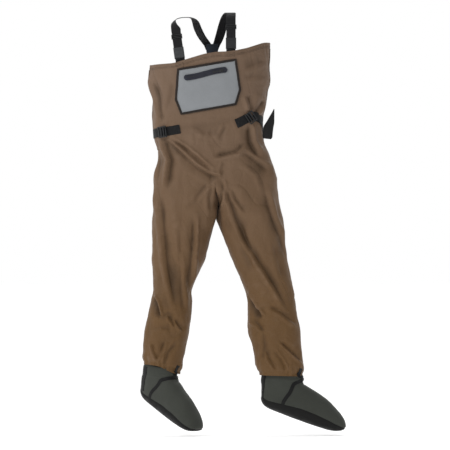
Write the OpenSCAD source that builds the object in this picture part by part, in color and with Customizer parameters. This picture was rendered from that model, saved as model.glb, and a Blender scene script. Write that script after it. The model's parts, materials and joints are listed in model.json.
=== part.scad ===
/* [Bib] */
// Height of the bib's top edge below the hanging point, in the middle
bib_top = -158; // [-180:1:-140]
// Slope of everything sewn on the upper body, rise over run
bib_slope = 0.187; // [0:0.01:0.25]
// Half depth of the bib, front to back
bib_depth = 113; // [90:1:130]
// Thickness of the fabric walls
wall = 3; // [2:0.5:4]
// Roundness of the upper body's section, 2 is an ellipse
body_round = 3; // [2:0.1:3.4]

/* [Legs] */
// Height of the hip axis
hip_z = -640; // [-650:1:-630]
// Height of the knee axis
knee_z = -985; // [-1000:1:-970]
// Where the two legs meet, across the body
crotch_x = 20; // [18:1:22]
// Width of the gusset between the legs
gusset_w = 14; // [10:1:15]
// Height of the elastic cuff at the ankle
cuff_h = 14; // [8:1:20]

/* [Booties] */
// Thickness of the neoprene
neoprene = 4; // [3:0.5:5]
// Thickness of the rubber sole
sole_t = 5; // [3:0.5:6]
// How far the left foot points down
left_tilt = 30; // [25:1:34]
// How far the right foot points down
right_tilt = 20; // [14:1:24]
// How far the left toe turns to the front
left_turn = 36; // [20:1:40]

/* [Straps] */
// Width of the elastic braces
brace_w = 35; // [34:1:38]
// Thickness of the braces and the webbing
web_t = 1.6; // [1.2:0.1:1.8]
// Width of the waist belt
belt_w = 34; // [30:1:38]
// How far the buckle's two halves draw apart
plug_travel = 28; // [20:1:28]

/* [Pocket] */
// Width of the bound edge of the chest pocket
binding_w = 8; // [6:1:10]
// Length of the zipper tape
zip_length = 165; // [150:1:170]
// Width of the zipper tape
zip_w = 20; // [18:1:22]
// Radius of the hole in the zipper pull
pull_hole_r = 2; // [1.5:0.1:2.2]

/* [Hidden] */
// Clearance on each side of a round cut between two shells
gap = 1.8;
// Clearance between sewn layers
lay = 0.5;
// Slope of the waist belt in front
belt_slope = 0.17;
belt_mid_z = -418;
// Radii about which the shells are parted at the hip and the knee
hip_r = 131;
knee_r = 101;
// Centres of the ankles, across and up
ankle_l = [-193, -1352];
ankle_r = [262, -1374];

// ---- Outlines, front view: [height, across] ----
body_left = [[-1000, -217], [-628, -217], [-568, -206], [-508, -200], [-448, -219],
    [-403, -219], [-328, -219], [-268, -234], [-208, -232], [-100, -227]];
body_right = [[-1000, 251], [-628, 251], [-568, 229], [-508, 208], [-448, 198],
    [-403, 196], [-328, 210], [-268, 220], [-208, 221], [-100, 223]];
body_deep = [[-700, 108], [-640, 104], [-560, 105], [-450, 98], [-330, 108], [-200, bib_depth],
    [-100, bib_depth]];
left_outer = [[-1400, -250], [-1318, -251], [-1228, -255], [-1138, -240], [-1048, -214],
    [-958, -221], [-868, -221], [-748, -217], [-628, -217], [-568, -206], [-500, -200]];
left_inner = [[-1400, -135], [-1318, -112], [-1228, -86], [-1138, -75], [-1048, -75],
    [-958, -41], [-868, -7], [-778, 9], [-700, 11], [-500, 11]];
right_inner = [[-1400, 190], [-1361, 184], [-1318, 165], [-1228, 150], [-1138, 142],
    [-1048, 131], [-958, 94], [-868, 56], [-778, 30], [-700, 29], [-500, 29]];
right_outer = [[-1400, 338], [-1318, 345], [-1228, 334], [-1138, 322], [-1048, 311],
    [-958, 292], [-868, 277], [-748, 270], [-688, 262], [-628, 251], [-568, 229], [-500, 208]];
leg_deep = [[-1400, 60], [-1318, 64], [-1220, 72], [-1100, 78], [-985, 80], [-880, 86],
    [-760, 96], [-640, 104], [-500, 105]];

function mix(a, b, t) = a + (b - a) * t;
function flat_power(v, p) = sign(v) * pow(abs(v), 2 / p);

// A point of a section at height z and angle a, moved out by off
function body_at(z, a, off = 0) =
    let (l = lookup(z, body_left), r = lookup(z, body_right))
    [(l + r) / 2 + ((r - l) / 2 + off) * flat_power(cos(a), body_round),
     (lookup(z, body_deep) + off) * flat_power(sin(a), body_round), z];
function leg_at(left, z, a, off = 0) =
    let (l = lookup(z, left ? left_outer : right_inner),
         r = lookup(z, left ? left_inner : right_outer))
    [(l + r) / 2 + ((r - l) / 2 + off) * flat_power(cos(a), 2.5),
     (lookup(z, leg_deep) + off) * flat_power(sin(a), 2.5), z];

// The front or back surface of the bib over a place in the front view
function body_y(x, z, off) =
    let (l = lookup(z, body_left), r = lookup(z, body_right),
         c = min(0.999, abs(x - (l + r) / 2) / ((r - l) / 2 + off)))
    (lookup(z, body_deep) + off) * pow(1 - pow(c, body_round), 1 / body_round);
function on_front(x, z, off) = [x, -body_y(x, z, off), z];
function on_back(x, z, off) = [x, body_y(x, z, off), z];
// Angle of the section at a place across, on the front
function front_angle(x, z) =
    let (l = lookup(z, body_left), r = lookup(z, body_right),
         c = (x - (l + r) / 2) / ((r - l) / 2))
    acos(sign(c) * pow(abs(c), body_round / 2));

function edge_z(x) = bib_top + bib_slope * x;
function belt_z(x) = belt_mid_z + belt_slope * x;
// The belt behind the body lies lower and nearly level
function back_z(x) = belt_mid_z - 24.5 + 0.057 * x;
// Height on a round cut about an axis across the body, where the wall is at y
function round_cut(axis_z, r, y) = axis_z + sqrt(max(0, r * r - y * y));

// ---- Solids made from two grids of points ----
module slab(a, b, wrap = false, cap_end = false) {
    rows = len(a);
    cols = len(a[0]);
    n = rows * cols;
    last = wrap ? cols - 1 : cols - 2;
    points = concat([for (row = a) for (p = row) p], [for (row = b) for (p = row) p]);
    function quad(p, q, r, s) = [[p, q, r], [p, r, s]];
    sides = [for (i = [0:rows - 2]) for (j = [0:last])
        let (k = (j + 1) % cols, p = i * cols + j, q = i * cols + k)
        concat(quad(p, p + cols, q + cols, q), quad(n + p, n + q, n + q + cols, n + p + cols))];
    starts = [for (j = [0:last]) let (k = (j + 1) % cols) quad(j, k, n + k, n + j)];
    ends = [for (j = [0:last]) let (k = (j + 1) % cols, m = (rows - 1) * cols)
        quad(m + k, m + j, n + m + j, n + m + k)];
    edges = wrap ? [] : [for (i = [0:rows - 2]) let (p = i * cols, q = p + cols - 1)
        concat(quad(p + cols, p, n + p, n + p + cols), quad(q, q + cols, n + q + cols, n + q))];
    caps = [[for (j = [cols - 1:-1:0]) (rows - 1) * cols + j],
        [for (j = [0:cols - 1]) n + (rows - 1) * cols + j]];
    polyhedron(points, [for (group = concat(sides, starts, cap_end ? [] : ends, edges))
        for (f = group) f, if (cap_end) for (f = caps) f], convexity = 6);
}

// A grid of points at(height, angle), with its own top and bottom for each angle
function wall_grid(at, low, high, angles, rows, off) =
    [for (i = [0:rows]) [for (a = angles) let (z = mix(low(a), high(a), i / rows)) at(z, a, off)]];
module wall_of(at, low, high, angles, rows, t, wrap = false) {
    slab(wall_grid(at, low, high, angles, rows, 0), wall_grid(at, low, high, angles, rows, -t),
        wrap);
}

// A flat band along points, width vectors and thickness; down is the side it is thick towards
module band(path, across, t) {
    m = len(path) - 1;
    normals = [for (i = [0:m]) let (d = path[min(m, i + 1)] - path[max(0, i - 1)],
        c = cross(d, across[i])) c / norm(c)];
    function side(k) = [for (i = [0:m])
        [path[i] - across[i] + normals[i] * k, path[i] + across[i] + normals[i] * k]];
    slab(side(-t / 2), side(t / 2));
}

// ---- Upper body ----
around = 26;
back_angles = [for (i = [0:around / 2]) mix(0.4, 179.6, i / (around / 2))];
front_angles = [for (a = back_angles) a + 180];
all_angles = [for (i = [0:around - 1]) 360 * i / around];
hem_h = 22;

function body_low(a) = round_cut(hip_z, hip_r + gap, body_at(hip_z + 80, a)[1]);
function body_top(a) = edge_z(body_at(bib_top, a)[0]);

module bib_half(angles) {
    color("#75614e")
        wall_of(function(z, a, off) body_at(z, a, off), function(a) body_low(a),
            function(a) body_top(a) - hem_h - lay, angles, panel_rows, wall);
}
module bib_front_panel() { bib_half(front_angles); }
module bib_back_panel() { bib_half(back_angles); }
module top_hem() {
    color("#6a5746")
        wall_of(function(z, a, off) body_at(z, a, off), function(a) body_top(a) - hem_h,
            function(a) body_top(a), all_angles, 1, wall, true);
}
module crotch_gusset() {
    side = [[-102, hip_z + 76], [-99, hip_z + 20], [-70, hip_z - 28], [-36, hip_z - 46]];
    path = [for (p = side) [crotch_x, p[0], p[1]], [crotch_x, 0, hip_z - 50],
        for (i = [len(side) - 1:-1:0]) [crotch_x, -side[i][0], side[i][1]]];
    color("#6a5746") band(path, [for (p = path) [gusset_w / 2, 0, 0]], wall);
}
// The tapes cover the joins of the two panels, row by row with them
panel_rows = 9;
module side_tape(a) {
    tape_angle = 3;
    tape_lay = 0.7;
    tape_t = 0.4;
    low = body_low(a);
    high = body_top(a) - hem_h - lay;
    function side(off) = [for (i = [0:panel_rows]) [for (k = [-1, 1])
        body_at(mix(low, high, i / panel_rows) + (i == 0 ? 4 : i == panel_rows ? -4 : 0),
            a + k * tape_angle, off)]];
    color("#5c4b3b") slab(side(tape_lay + tape_t), side(tape_lay));
}
module left_side_tape() { side_tape(180); }
module right_side_tape() { side_tape(0); }

// ---- Chest pocket: corners run round from the top left ----
pocket = [[-127, -212], [96, -174], [113, -291], [96, -347], [-114, -384], [-135, -330]];
function shrink(d) = let (c = [-11, -288]) [for (p = pocket) let (v = p - c) c + v * (1 - d / 95)];
// Places along a closed outline, so many to each side
function along(outline, steps) = [for (i = [0:len(outline) - 1]) for (k = [0:steps - 1])
    mix(outline[i], outline[(i + 1) % len(outline)], k / steps)];
module pocket_panel() {
    q = shrink(binding_w + 0.5);
    rows = 6;
    function left_edge(t) = t < 0.5 ? mix(q[4], q[5], t * 2) : mix(q[5], q[0], t * 2 - 1);
    function right_edge(t) = t < 0.5 ? mix(q[3], q[2], t * 2) : mix(q[2], q[1], t * 2 - 1);
    function sheet(off) = [for (i = [0:rows]) [for (j = [0:8])
        let (p = mix(left_edge(i / rows), right_edge(i / rows), j / 8))
        on_front(p[0], p[1], off)]];
    color("#8c8f90") slab(sheet(lay + 2.5), sheet(lay));
}
module pocket_binding() {
    outer = along(pocket, 4);
    inner = along(shrink(binding_w), 4);
    n = len(outer) - 1;
    function ring(off) = [[for (i = [0:n]) on_front(outer[i][0], outer[i][1], off)],
        [for (i = [0:n]) on_front(inner[i][0], inner[i][1], off)]];
    color("#2d2622") slab(ring(lay), ring(lay + 3.5), true);
}

// ---- Zipper, along a line across the pocket ----
zip_mid = [-20, -231];
zip_slope = 0.2;
zip_turn = atan(zip_slope);
zip_y = -body_y(zip_mid[0], zip_mid[1], 0) - 3.4;
teeth_l = zip_length - 30;
module at_zip() { translate([zip_mid[0], zip_y, zip_mid[1]]) rotate([0, -zip_turn, 0]) children(); }
module zipper_tape() {
    r = zip_w / 2;
    color("#24252c") at_zip() translate([0, -0.2, 0]) rotate([90, 0, 0])
        linear_extrude(1.2) {
            square([zip_length - zip_w, zip_w], center = true);
            for (s = [-1, 1]) translate([s * (zip_length / 2 - r), 0]) circle(r, $fn = 48);
        }
}
module zipper_teeth() {
    pitch = 3;
    count = floor(teeth_l / pitch);
    color("#101014") at_zip() for (i = [0:count - 1])
        translate([(i - (count - 1) / 2) * pitch, -2.4, (i % 2) * 1.2 - 0.6])
            cube([1.8, 1.6, 4], center = true);
}
module zipper_end_stops() {
    color("#1a1a1e") at_zip() for (s = [-1, 1])
        translate([s * (teeth_l / 2 + 3), -2.5, 0]) cube([3, 1.8, 7], center = true);
}
slider_x = teeth_l / 2 - 9;
bail_y = -7.7;
bail_r = 1;
module zipper_slider() {
    color("#1c1c20") at_zip() translate([slider_x, 0, 0]) {
        translate([0, -4.4, 0]) cube([13, 1.6, 11], center = true);
        for (s = [-1, 1]) translate([0, -6.4, s * 4.2]) cube([3, 2.8, 1.6], center = true);
        translate([0, bail_y, -5]) cylinder(r = bail_r, h = 10, $fn = 32);
    }
}
// The pull lies along the tape and swings out about the bail
pull_l = 27;
module zipper_pull() {
    color("#1c1c20") at_zip() translate([slider_x, bail_y, 0]) difference() {
        union() {
            translate([0, 0, -2.6]) cylinder(r = 2, h = 5.2, $fn = 32);
            translate([-pull_l, -0.8, -2.2]) cube([pull_l - 1, 1.6, 4.4]);
            translate([-pull_l, 0.8, 0]) rotate([90, 0, 0]) cylinder(r = 5, h = 1.6, $fn = 48);
        }
        translate([0, 0, -4]) cylinder(r = bail_r + 0.35, h = 8, $fn = 32);
        translate([-pull_l, 3, 0]) rotate([90, 0, 0]) cylinder(r = pull_hole_r, h = 6, $fn = 32);
    }
}

// ---- Waist belt ----
belt_off = 1;
module belt_piece(points, off, w = belt_w) {
    function side(k) = [for (p = points) [for (s = [-1, 1])
        on_front(p[0], p[1] + s * w / 2, k)]];
    color("#1e1e1e") slab(side(off), side(off + web_t));
}
module left_waist_tab() {
    belt_piece([for (x = [-163, -148, -132, -116]) [x, belt_z(x)]], belt_off);
}
module right_waist_tab() {
    belt_piece([[99, -414], [110, -410.4], [120, -406], [130.5, -401]], belt_off);
}
lock_l = [-180, belt_z(-180)];
lock_r = [149, -394];
module at_lock(place, turn, yaw) {
    translate(on_front(place[0], place[1], 0)) rotate([0, 0, yaw]) rotate([0, turn, 0]) children();
}
// A ladder lock: a frame with three cross bars, hinged on the bar next to its tab
module belt_lock() {
    w = belt_w + 8;
    difference() {
        translate([-17, -9.5, -w / 2]) cube([34, 4.5, w]);
        for (x = [-12.5, -1.5, 8.5]) translate([x, -11, -belt_w / 2 - 0.5])
            cube([5, 8, belt_w + 1]);
    }
    for (x = [-5, 5.5, 15.2]) translate([x, -8.6, -w / 2]) cylinder(r = 1.8, h = w, $fn = 32);
}
module left_belt_lock() { color("#2a2b2c") at_lock(lock_l, -9, -25) belt_lock(); }
module right_belt_lock() { color("#2a2b2c") at_lock(lock_r, -36, 16) mirror([1, 0, 0]) belt_lock(); }
// Round the back from lock to lock, clear of the side tapes
back_off = 3.1;
module back_belt() {
    start = 360 - front_angle(-193, belt_z(-193));
    finish = -front_angle(166, belt_z(166));
    turns = [start, 194.18, 187, 180.4, 179.6, for (i = [25:-1:1]) mix(0.4, 179.6, i / 26), 0.4, -0.4,
        -7, -14.18, -21, -28, mix(-28, finish, 0.5), finish];
    function height(a) = let (x = body_at(belt_mid_z, a)[0])
        a > 180 ? mix(back_z(x), belt_z(x), (a - 180) / (start - 180))
        : a < 0 ? mix(back_z(x), belt_z(x), a / finish) : back_z(x);
    across = 8;
    function side(off) = [for (a = turns) [for (s = [0:across])
        body_at(height(a) + (s / across - 0.5) * belt_w, a, off)]];
    color("#1e1e1e") slab(side(back_off + web_t), side(back_off));
}
module belt_loop(x) {
    loop_w = 14;
    reach = belt_w / 2 + 11;
    low = 1.2;
    high = back_off + web_t + 0.9;
    heights = [-reach, -belt_w / 2 - 4, -belt_w / 2 - 1, belt_w / 2 + 1, belt_w / 2 + 4, reach];
    offs = [low, low, high, high, low, low];
    function side(k) = [for (i = [0:5]) [for (s = [-1, 1])
        on_back(x + s * loop_w / 2, back_z(x) + heights[i], offs[i] + k)]];
    color("#2a241f") slab(side(1.4), side(0));
}
module belt_loops() { for (x = [-110, -10, 90]) belt_loop(x); }
module belt_tail() {
    path = [[216, -62, -472], [217, -62, -452], [218, -61, -430], [226, -59, -398], [234, -57, -366]];
    half = [18, 18, 18, 10, 2];
    color("#1e1e1e") band(path, [for (h = half) [h, -h / 4, 0]], web_t);
}

// ---- Braces: each has a frame with its own +Z along the strap ----
left_foot_of_strap = [-116, -109.5, edge_z(-116) + 2];
right_foot_of_strap = [75, -109.5, edge_z(75) + 2];
left_lean = [-19, -8, 0];
right_lean = [-19, 0, 0];
module at_strap(left) {
    translate(left ? left_foot_of_strap : right_foot_of_strap)
        rotate(left ? left_lean : right_lean) children();
}
function strap_dir(lean) = [sin(lean[1]) * cos(lean[0]), -sin(lean[0]), cos(lean[1]) * cos(lean[0])];
function up_strap(left, along_it, out) =
    let (lean = left ? left_lean : right_lean, d = strap_dir(lean),
         n = [sin(lean[1]) * sin(lean[0]), cos(lean[0]), cos(lean[1]) * sin(lean[0])])
    (left ? left_foot_of_strap : right_foot_of_strap) + d * along_it + n * out;

// Half the width of a brace, as a vector in its frame
function strap_half(left) = let (b = left ? left_lean[1] : right_lean[1])
    brace_w / 2 * [cos(b), 0, -sin(b)];

socket_z = 6;
socket_h = 30;
plug_z = socket_z + socket_h + 0.4;
plug_h = 11;
prong_l = 22;
buckle_w = brace_w + 4;
// Sewn inside the bib's hem
module strap_tab(left) {
    x = left ? left_foot_of_strap[0] : right_foot_of_strap[0];
    top = edge_z(x);
    inside = -wall - 1.5;
    // each edge of the sewn end lies along the bib's curve and its sloping rim
    function edge(side, up) = on_front(x + side * brace_w / 2, top + up, inside)
        + [0, 0, side * bib_slope * brace_w / 2];
    sewn = [-26, -10, 3.2];
    path = [for (up = sewn) (edge(-1, up) + edge(1, up)) / 2, up_strap(left, socket_z - 1.5, 0)];
    across = [for (up = sewn) (edge(1, up) - edge(-1, up)) / 2, strap_half(left)];
    color("#232323") band(path, across, web_t);
}
module left_strap_tab() { strap_tab(true); }
module right_strap_tab() { strap_tab(false); }
module buckle_socket(left) {
    color("#4a4c4e") at_strap(left) difference() {
        translate([-buckle_w / 2, -4.5, socket_z]) cube([buckle_w, 9, socket_h]);
        translate([-buckle_w / 2 + 3, -2.8, socket_z + 5]) cube([buckle_w - 6, 5.6, socket_h]);
    }
}
module left_buckle_socket() { buckle_socket(true); }
module right_buckle_socket() { buckle_socket(false); }
module buckle_plug(left) {
    prong_w = 6;
    color("#4a4c4e") at_strap(left) {
        translate([-buckle_w / 2, -4.5, plug_z]) cube([buckle_w, 9, plug_h]);
        for (x = [-buckle_w / 2 + 4, -prong_w / 2, buckle_w / 2 - 4 - prong_w])
            translate([x, -2, plug_z - prong_l]) cube([prong_w, 4, prong_l + 1]);
    }
}
module left_buckle_plug() { buckle_plug(true); }
module right_buckle_plug() { buckle_plug(false); }
front_lay = -1.7;
back_lay = 0.7;
module strap_webbing(left) {
    color("#202020") at_strap(left)
        translate([-brace_w / 2, front_lay - web_t / 2, plug_z + plug_h + 0.3])
            cube([brace_w, web_t, 48]);
}
module left_strap_webbing() { strap_webbing(true); }
module right_strap_webbing() { strap_webbing(false); }
glide_z = 84;
// A three-bar slider round both layers of the strap
module triglide(left) {
    w = brace_w + 6;
    side_t = 2.4;
    color("#33373c") at_strap(left) translate([0, 0, glide_z]) {
        for (s = [-1, 1]) translate([s * (w / 2 - side_t / 2) - side_t / 2, -5, 0])
            cube([side_t, 9, 16]);
        for (z = [2, 8, 14]) translate([-w / 2, -4.6, z]) rotate([0, 90, 0])
            cylinder(r = 1.4, h = w, $fn = 32);
        translate([-w / 2, 2.6, 2]) cube([w, 1.4, 12]);
    }
}
module left_triglide() { triglide(true); }
module right_triglide() { triglide(false); }

module shoulder_strap(left) {
    straight = [for (k = [80, 95, 110, 125]) up_strap(left, k, back_lay)];
    over = left
        ? [[-139, -56, -45], [-134, -36, -30], [-117, -14, -20], [-95, 8, -17], [-74, 28, -20],
           [-61, 46, -36], [-49, 68, -62], [-34, 92, -88], [-22, 115.2, -107], [-14, 115.2, -136]]
        : [[75, -50, -10], [74, -26, -1], [69, 0, 0], [62, 24, -5], [53, 46, -20],
           [44, 70, -46], [36, 94, -76], [28, 113, -102], [26, 115.2, -110], [22, 115.2, -136]];
    turn = left ? [0, 0, 0, 0, -40, -72, -60, -44, -30, -36, -40, -25, 0, 0]
        : [0, 0, 0, 0, 0, -5, -10, -14, -16, -12, -8, 0, 0, 0];
    half = [for (i = [0:len(turn) - 1]) i < len(turn) - 2 ? brace_w / 2
        : i < len(turn) - 1 ? brace_w / 2 - 4 : 9];
    across = [for (i = [0:len(turn) - 1]) i < len(straight) ? strap_half(left)
        : half[i] * [cos(turn[i]), sin(turn[i]), 0]];
    color("#1f1f1f") band(concat(straight, over), across, web_t);
}
module left_shoulder_strap() { shoulder_strap(true); }
module right_shoulder_strap() { shoulder_strap(false); }

// ---- Yoke behind the shoulders ----
yoke = [4, 115.2, -133];
yoke_w = 46;
yoke_h = 40;
module yoke_patch(y, t) {
    r = 5;
    translate([yoke[0], y + t, yoke[2]]) rotate([90, 0, 0]) linear_extrude(t) {
        square([yoke_w, yoke_h - 2 * r], center = true);
        square([yoke_w - 2 * r, yoke_h], center = true);
        for (sx = [-1, 1]) for (sy = [-1, 1])
            translate([sx * (yoke_w / 2 - r), sy * (yoke_h / 2 - r)]) circle(r, $fn = 32);
    }
}
module yoke_patch_outer() { color("#20262c") yoke_patch(yoke[1] + 1.3, 1.8); }
module yoke_patch_inner() { color("#20262c") yoke_patch(yoke[1] - 3.1, 1.8); }
// The back strap hangs from the yoke, then lies on the back panel
back_strap_off = 2.2;
function back_strap_y(z) = max(body_y(yoke[0], z, back_strap_off), z > -190 ? yoke[1] : 0);
module back_strap() {
    path = [for (z = [-138.5, -153, -168, -184, -200, -240]) [yoke[0], back_strap_y(z), z]];
    color("#1f1f1f") band(path, [for (p = path) [brace_w / 2, 0, 0]], web_t);
}
module back_strap_anchor() {
    rows = [-184, -200, -220, -246];
    patch_t = 1.6;
    over = web_t / 2 + 0.4;
    // raised over the strap, sewn down beside it
    function place(d, z, off) = abs(d) > brace_w / 2 + 2 ? on_back(yoke[0] + d, z, 1 + off)
        : [yoke[0] + d, back_strap_y(z) + over + off, z];
    function side(off) = [for (z = rows) [for (d = [-31, -19, 0, 19, 31]) place(d, z, off)]];
    color("#2a2f35") slab(side(0), side(patch_t));
}

// ---- Legs ----
leg_angles = [for (i = [0:23]) 15 * i];
function leg_top(left, a) = round_cut(hip_z, hip_r - gap, leg_at(left, hip_z + 60, a)[1]);
function thigh_low(left, a) = round_cut(knee_z, knee_r + gap, leg_at(left, knee_z + 50, a)[1]);
function shin_top(left, a) = round_cut(knee_z, knee_r - gap, leg_at(left, knee_z + 40, a)[1]);
// The cuff's lower edge, a slanted plane on the left
hem_up = 12;
function hem_z(left, a) = left
    ? ankle_l[1] + hem_up - 0.32 * (leg_at(left, ankle_l[1], a)[0] - ankle_l[0])
    : ankle_r[1] + hem_up;
module leg_tube(left, low, high, rows) {
    wall_of(function(z, a, off) leg_at(left, z, a, off), low, high, leg_angles, rows, wall, true);
}
module thigh(left) {
    color("#6e5940") leg_tube(left, function(a) thigh_low(left, a), function(a) leg_top(left, a), 8);
}
module left_thigh() { thigh(true); }
module right_thigh() { thigh(false); }
module shin(left) {
    color("#634b2f") leg_tube(left, function(a) hem_z(left, a) + cuff_h + lay,
        function(a) shin_top(left, a), 8);
}
module left_shin() { shin(true); }
module right_shin() { shin(false); }
module ankle_cuff(left) {
    color("#54402a") leg_tube(left, function(a) hem_z(left, a),
        function(a) hem_z(left, a) + cuff_h, 1);
}
module left_ankle_cuff() { ankle_cuff(true); }
module right_ankle_cuff() { ankle_cuff(false); }

// ---- Booties: rings from the collar to the toe, in the foot's own frame ----
// Each ring: [heel or sole side, instep side, half width]; the first ones stand upright
neck_l = [[[-44, 30], [58, 30], 44], [[-56, 8], [60, 8], 45], [[-64, -8], [63, -8], 46]];
neck_r = [[[-64, 30], [66, 30], 49], [[-68, 8], [71, 8], 49], [[-70, -8], [74, -8], 49]];
foot_rings = [[[-48, -48], [79, 8], 48], [[-49, -76], [104, 8], 48], [[-37, -104], [134, 3], 48],
    [[-10, -117], [164, -6], 48], [[50, -119], [194, -17], 50], [[115, -119], [222, -30], 52],
    [[180, -118], [248, -45], 52], [[232, -115], [268, -62], 46], [[262, -105], [278, -80], 34],
    [[273, -96], [278, -90], 14]];
last_ring = len(neck_l) + len(foot_rings) - 1;
function tilt_down(p, t) = [p[0] * cos(t) + p[1] * sin(t), -p[0] * sin(t) + p[1] * cos(t)];
function rings_of(left) = let (t = left ? left_tilt : right_tilt)
    concat(left ? neck_l : neck_r,
        [for (r = foot_rings) [tilt_down(r[0], t), tilt_down(r[1], t), r[2]]]);
// A point on the bootie: place s along the rings, angle a with 0 at the instep
function ring_at(left, s, a, off) =
    let (rings = rings_of(left), i = min(floor(s), last_ring - 1), t = s - i,
         b = mix(rings[i][0], rings[i + 1][0], t), f = mix(rings[i][1], rings[i + 1][1], t),
         w = mix(rings[i][2], rings[i + 1][2], t), c = (b + f) / 2, h = norm(f - b) / 2,
         d = (f - b) / (2 * h), u = c + d * (h + off) * flat_power(cos(a), 2.3),
         y = (w + off) * flat_power(sin(a), 2.3), turn = left ? -left_turn : 0,
         at = left ? ankle_l : ankle_r)
    [at[0] + u[0] * cos(turn) - y * sin(turn), u[0] * sin(turn) + y * cos(turn), at[1] + u[1]];
// The seam between the two panels, as a place along the rings for each angle
seam = [[0, 2.3], [36, 2.6], [59, 3], [85, 4.5], [105, 5.6], [126, 6.5], [180, 6.9]];
function seam_at(a) = lookup(a > 180 ? 360 - a : a, seam);
// Rows of the mesh: seam_row of them lie behind the seam, the rest before it
seam_row = 7;
last_row = 16;
function row_at(left, i, a, off) = ring_at(left, i <= seam_row ? seam_at(a) * i / seam_row
    : mix(seam_at(a), last_ring, (i - seam_row) / (last_row - seam_row)), a, off);
function foot_at(left, i, a, off) = let (k = min(floor(i), last_row - 1))
    mix(row_at(left, k, a, off), row_at(left, k + 1, a, off), i - k);
foot_angles = [for (i = [0:19]) 18 * i];
module bootie_quarter(left) {
    function rings(off) = [for (i = [0:seam_row]) [for (a = foot_angles) foot_at(left, i, a, off)]];
    color("#3e403c") slab(rings(-neoprene), rings(0), true);
}
module bootie_vamp(left) {
    rows = [seam_row + 0.02, for (i = [seam_row + 1:last_row]) i];
    function outer() = [for (i = rows) [for (a = foot_angles) foot_at(left, i, a, 0)]];
    function inner() = [for (i = rows) [for (a = foot_angles)
        foot_at(left, i < last_row - 2 ? i : mix(last_row - 3, last_row - 1.4,
            (i - last_row + 3) / 3), a, -neoprene)]];
    color("#3e403c") slab(inner(), outer(), true, true);
}
module foot_patch(left, rows, angles, low, high) {
    function side(off) = [for (i = rows) [for (a = angles) foot_at(left, i, a, off)]];
    slab(side(low), side(high));
}
tape_low = 0.8;
tape_high = 1.8;
module bootie_sole(left) {
    function side(off) = [for (i = [5:last_row - 1]) [for (k = [-3:3])
        foot_at(left, i, 180 + 18 * k, off)]];
    color("#161616") slab(side(1), side(sole_t));
}
module heel_tape(left) {
    color("#141414") foot_patch(left, [1.6, 2, 3, 4, 4.7], [162, 180, 198], tape_low, tape_high);
}
module ankle_tape(left) {
    color("#141414") foot_patch(left, [4, 5, 6, 6.6], [-18, 0, 18], tape_low, tape_high);
}
// The tape over the seam, down both sides of the foot
module instep_tape(left) {
    half = 0.13;
    function row_near(a, d) = d < 0 ? seam_row * (1 + d / seam_at(a))
        : seam_row + (last_row - seam_row) * d / (last_ring - seam_at(a));
    function side(off) = [for (k = [-6:6]) let (a = abs(18 * k)) [for (d = [-half, half])
        foot_at(left, row_near(a, d), 18 * k, off)]];
    color("#141414") slab(side(tape_high), side(tape_low));
}
module left_bootie_quarter() { bootie_quarter(true); }
module right_bootie_quarter() { bootie_quarter(false); }
module left_bootie_vamp() { bootie_vamp(true); }
module right_bootie_vamp() { bootie_vamp(false); }
module left_bootie_sole() { bootie_sole(true); }
module right_bootie_sole() { bootie_sole(false); }
module left_heel_tape() { heel_tape(true); }
module right_heel_tape() { heel_tape(false); }
module left_instep_tape() { instep_tape(true); }
module right_instep_tape() { instep_tape(false); }
module left_ankle_tape() { ankle_tape(true); }
module right_ankle_tape() { ankle_tape(false); }

bib_front_panel();
bib_back_panel();
crotch_gusset();
top_hem();
left_side_tape();
right_side_tape();
pocket_panel();
pocket_binding();
zipper_tape();
zipper_teeth();
zipper_end_stops();
zipper_slider();
zipper_pull();
left_waist_tab();
right_waist_tab();
left_belt_lock();
right_belt_lock();
back_belt();
belt_loops();
belt_tail();
left_strap_tab();
right_strap_tab();
left_buckle_socket();
right_buckle_socket();
left_buckle_plug();
right_buckle_plug();
left_strap_webbing();
right_strap_webbing();
left_triglide();
right_triglide();
left_shoulder_strap();
right_shoulder_strap();
yoke_patch_outer();
yoke_patch_inner();
back_strap();
back_strap_anchor();
left_thigh();
right_thigh();
left_shin();
right_shin();
left_ankle_cuff();
right_ankle_cuff();
left_bootie_quarter();
right_bootie_quarter();
left_bootie_vamp();
right_bootie_vamp();
left_bootie_sole();
right_bootie_sole();
left_heel_tape();
right_heel_tape();
left_instep_tape();
right_instep_tape();
left_ankle_tape();
right_ankle_tape();
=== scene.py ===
"""Chest waders hung by their braces: cloth, webbing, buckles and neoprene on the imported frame."""

import json
import math

import bpy
import numpy as np
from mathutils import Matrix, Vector, noise
from mathutils.bvhtree import BVHTree


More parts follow.
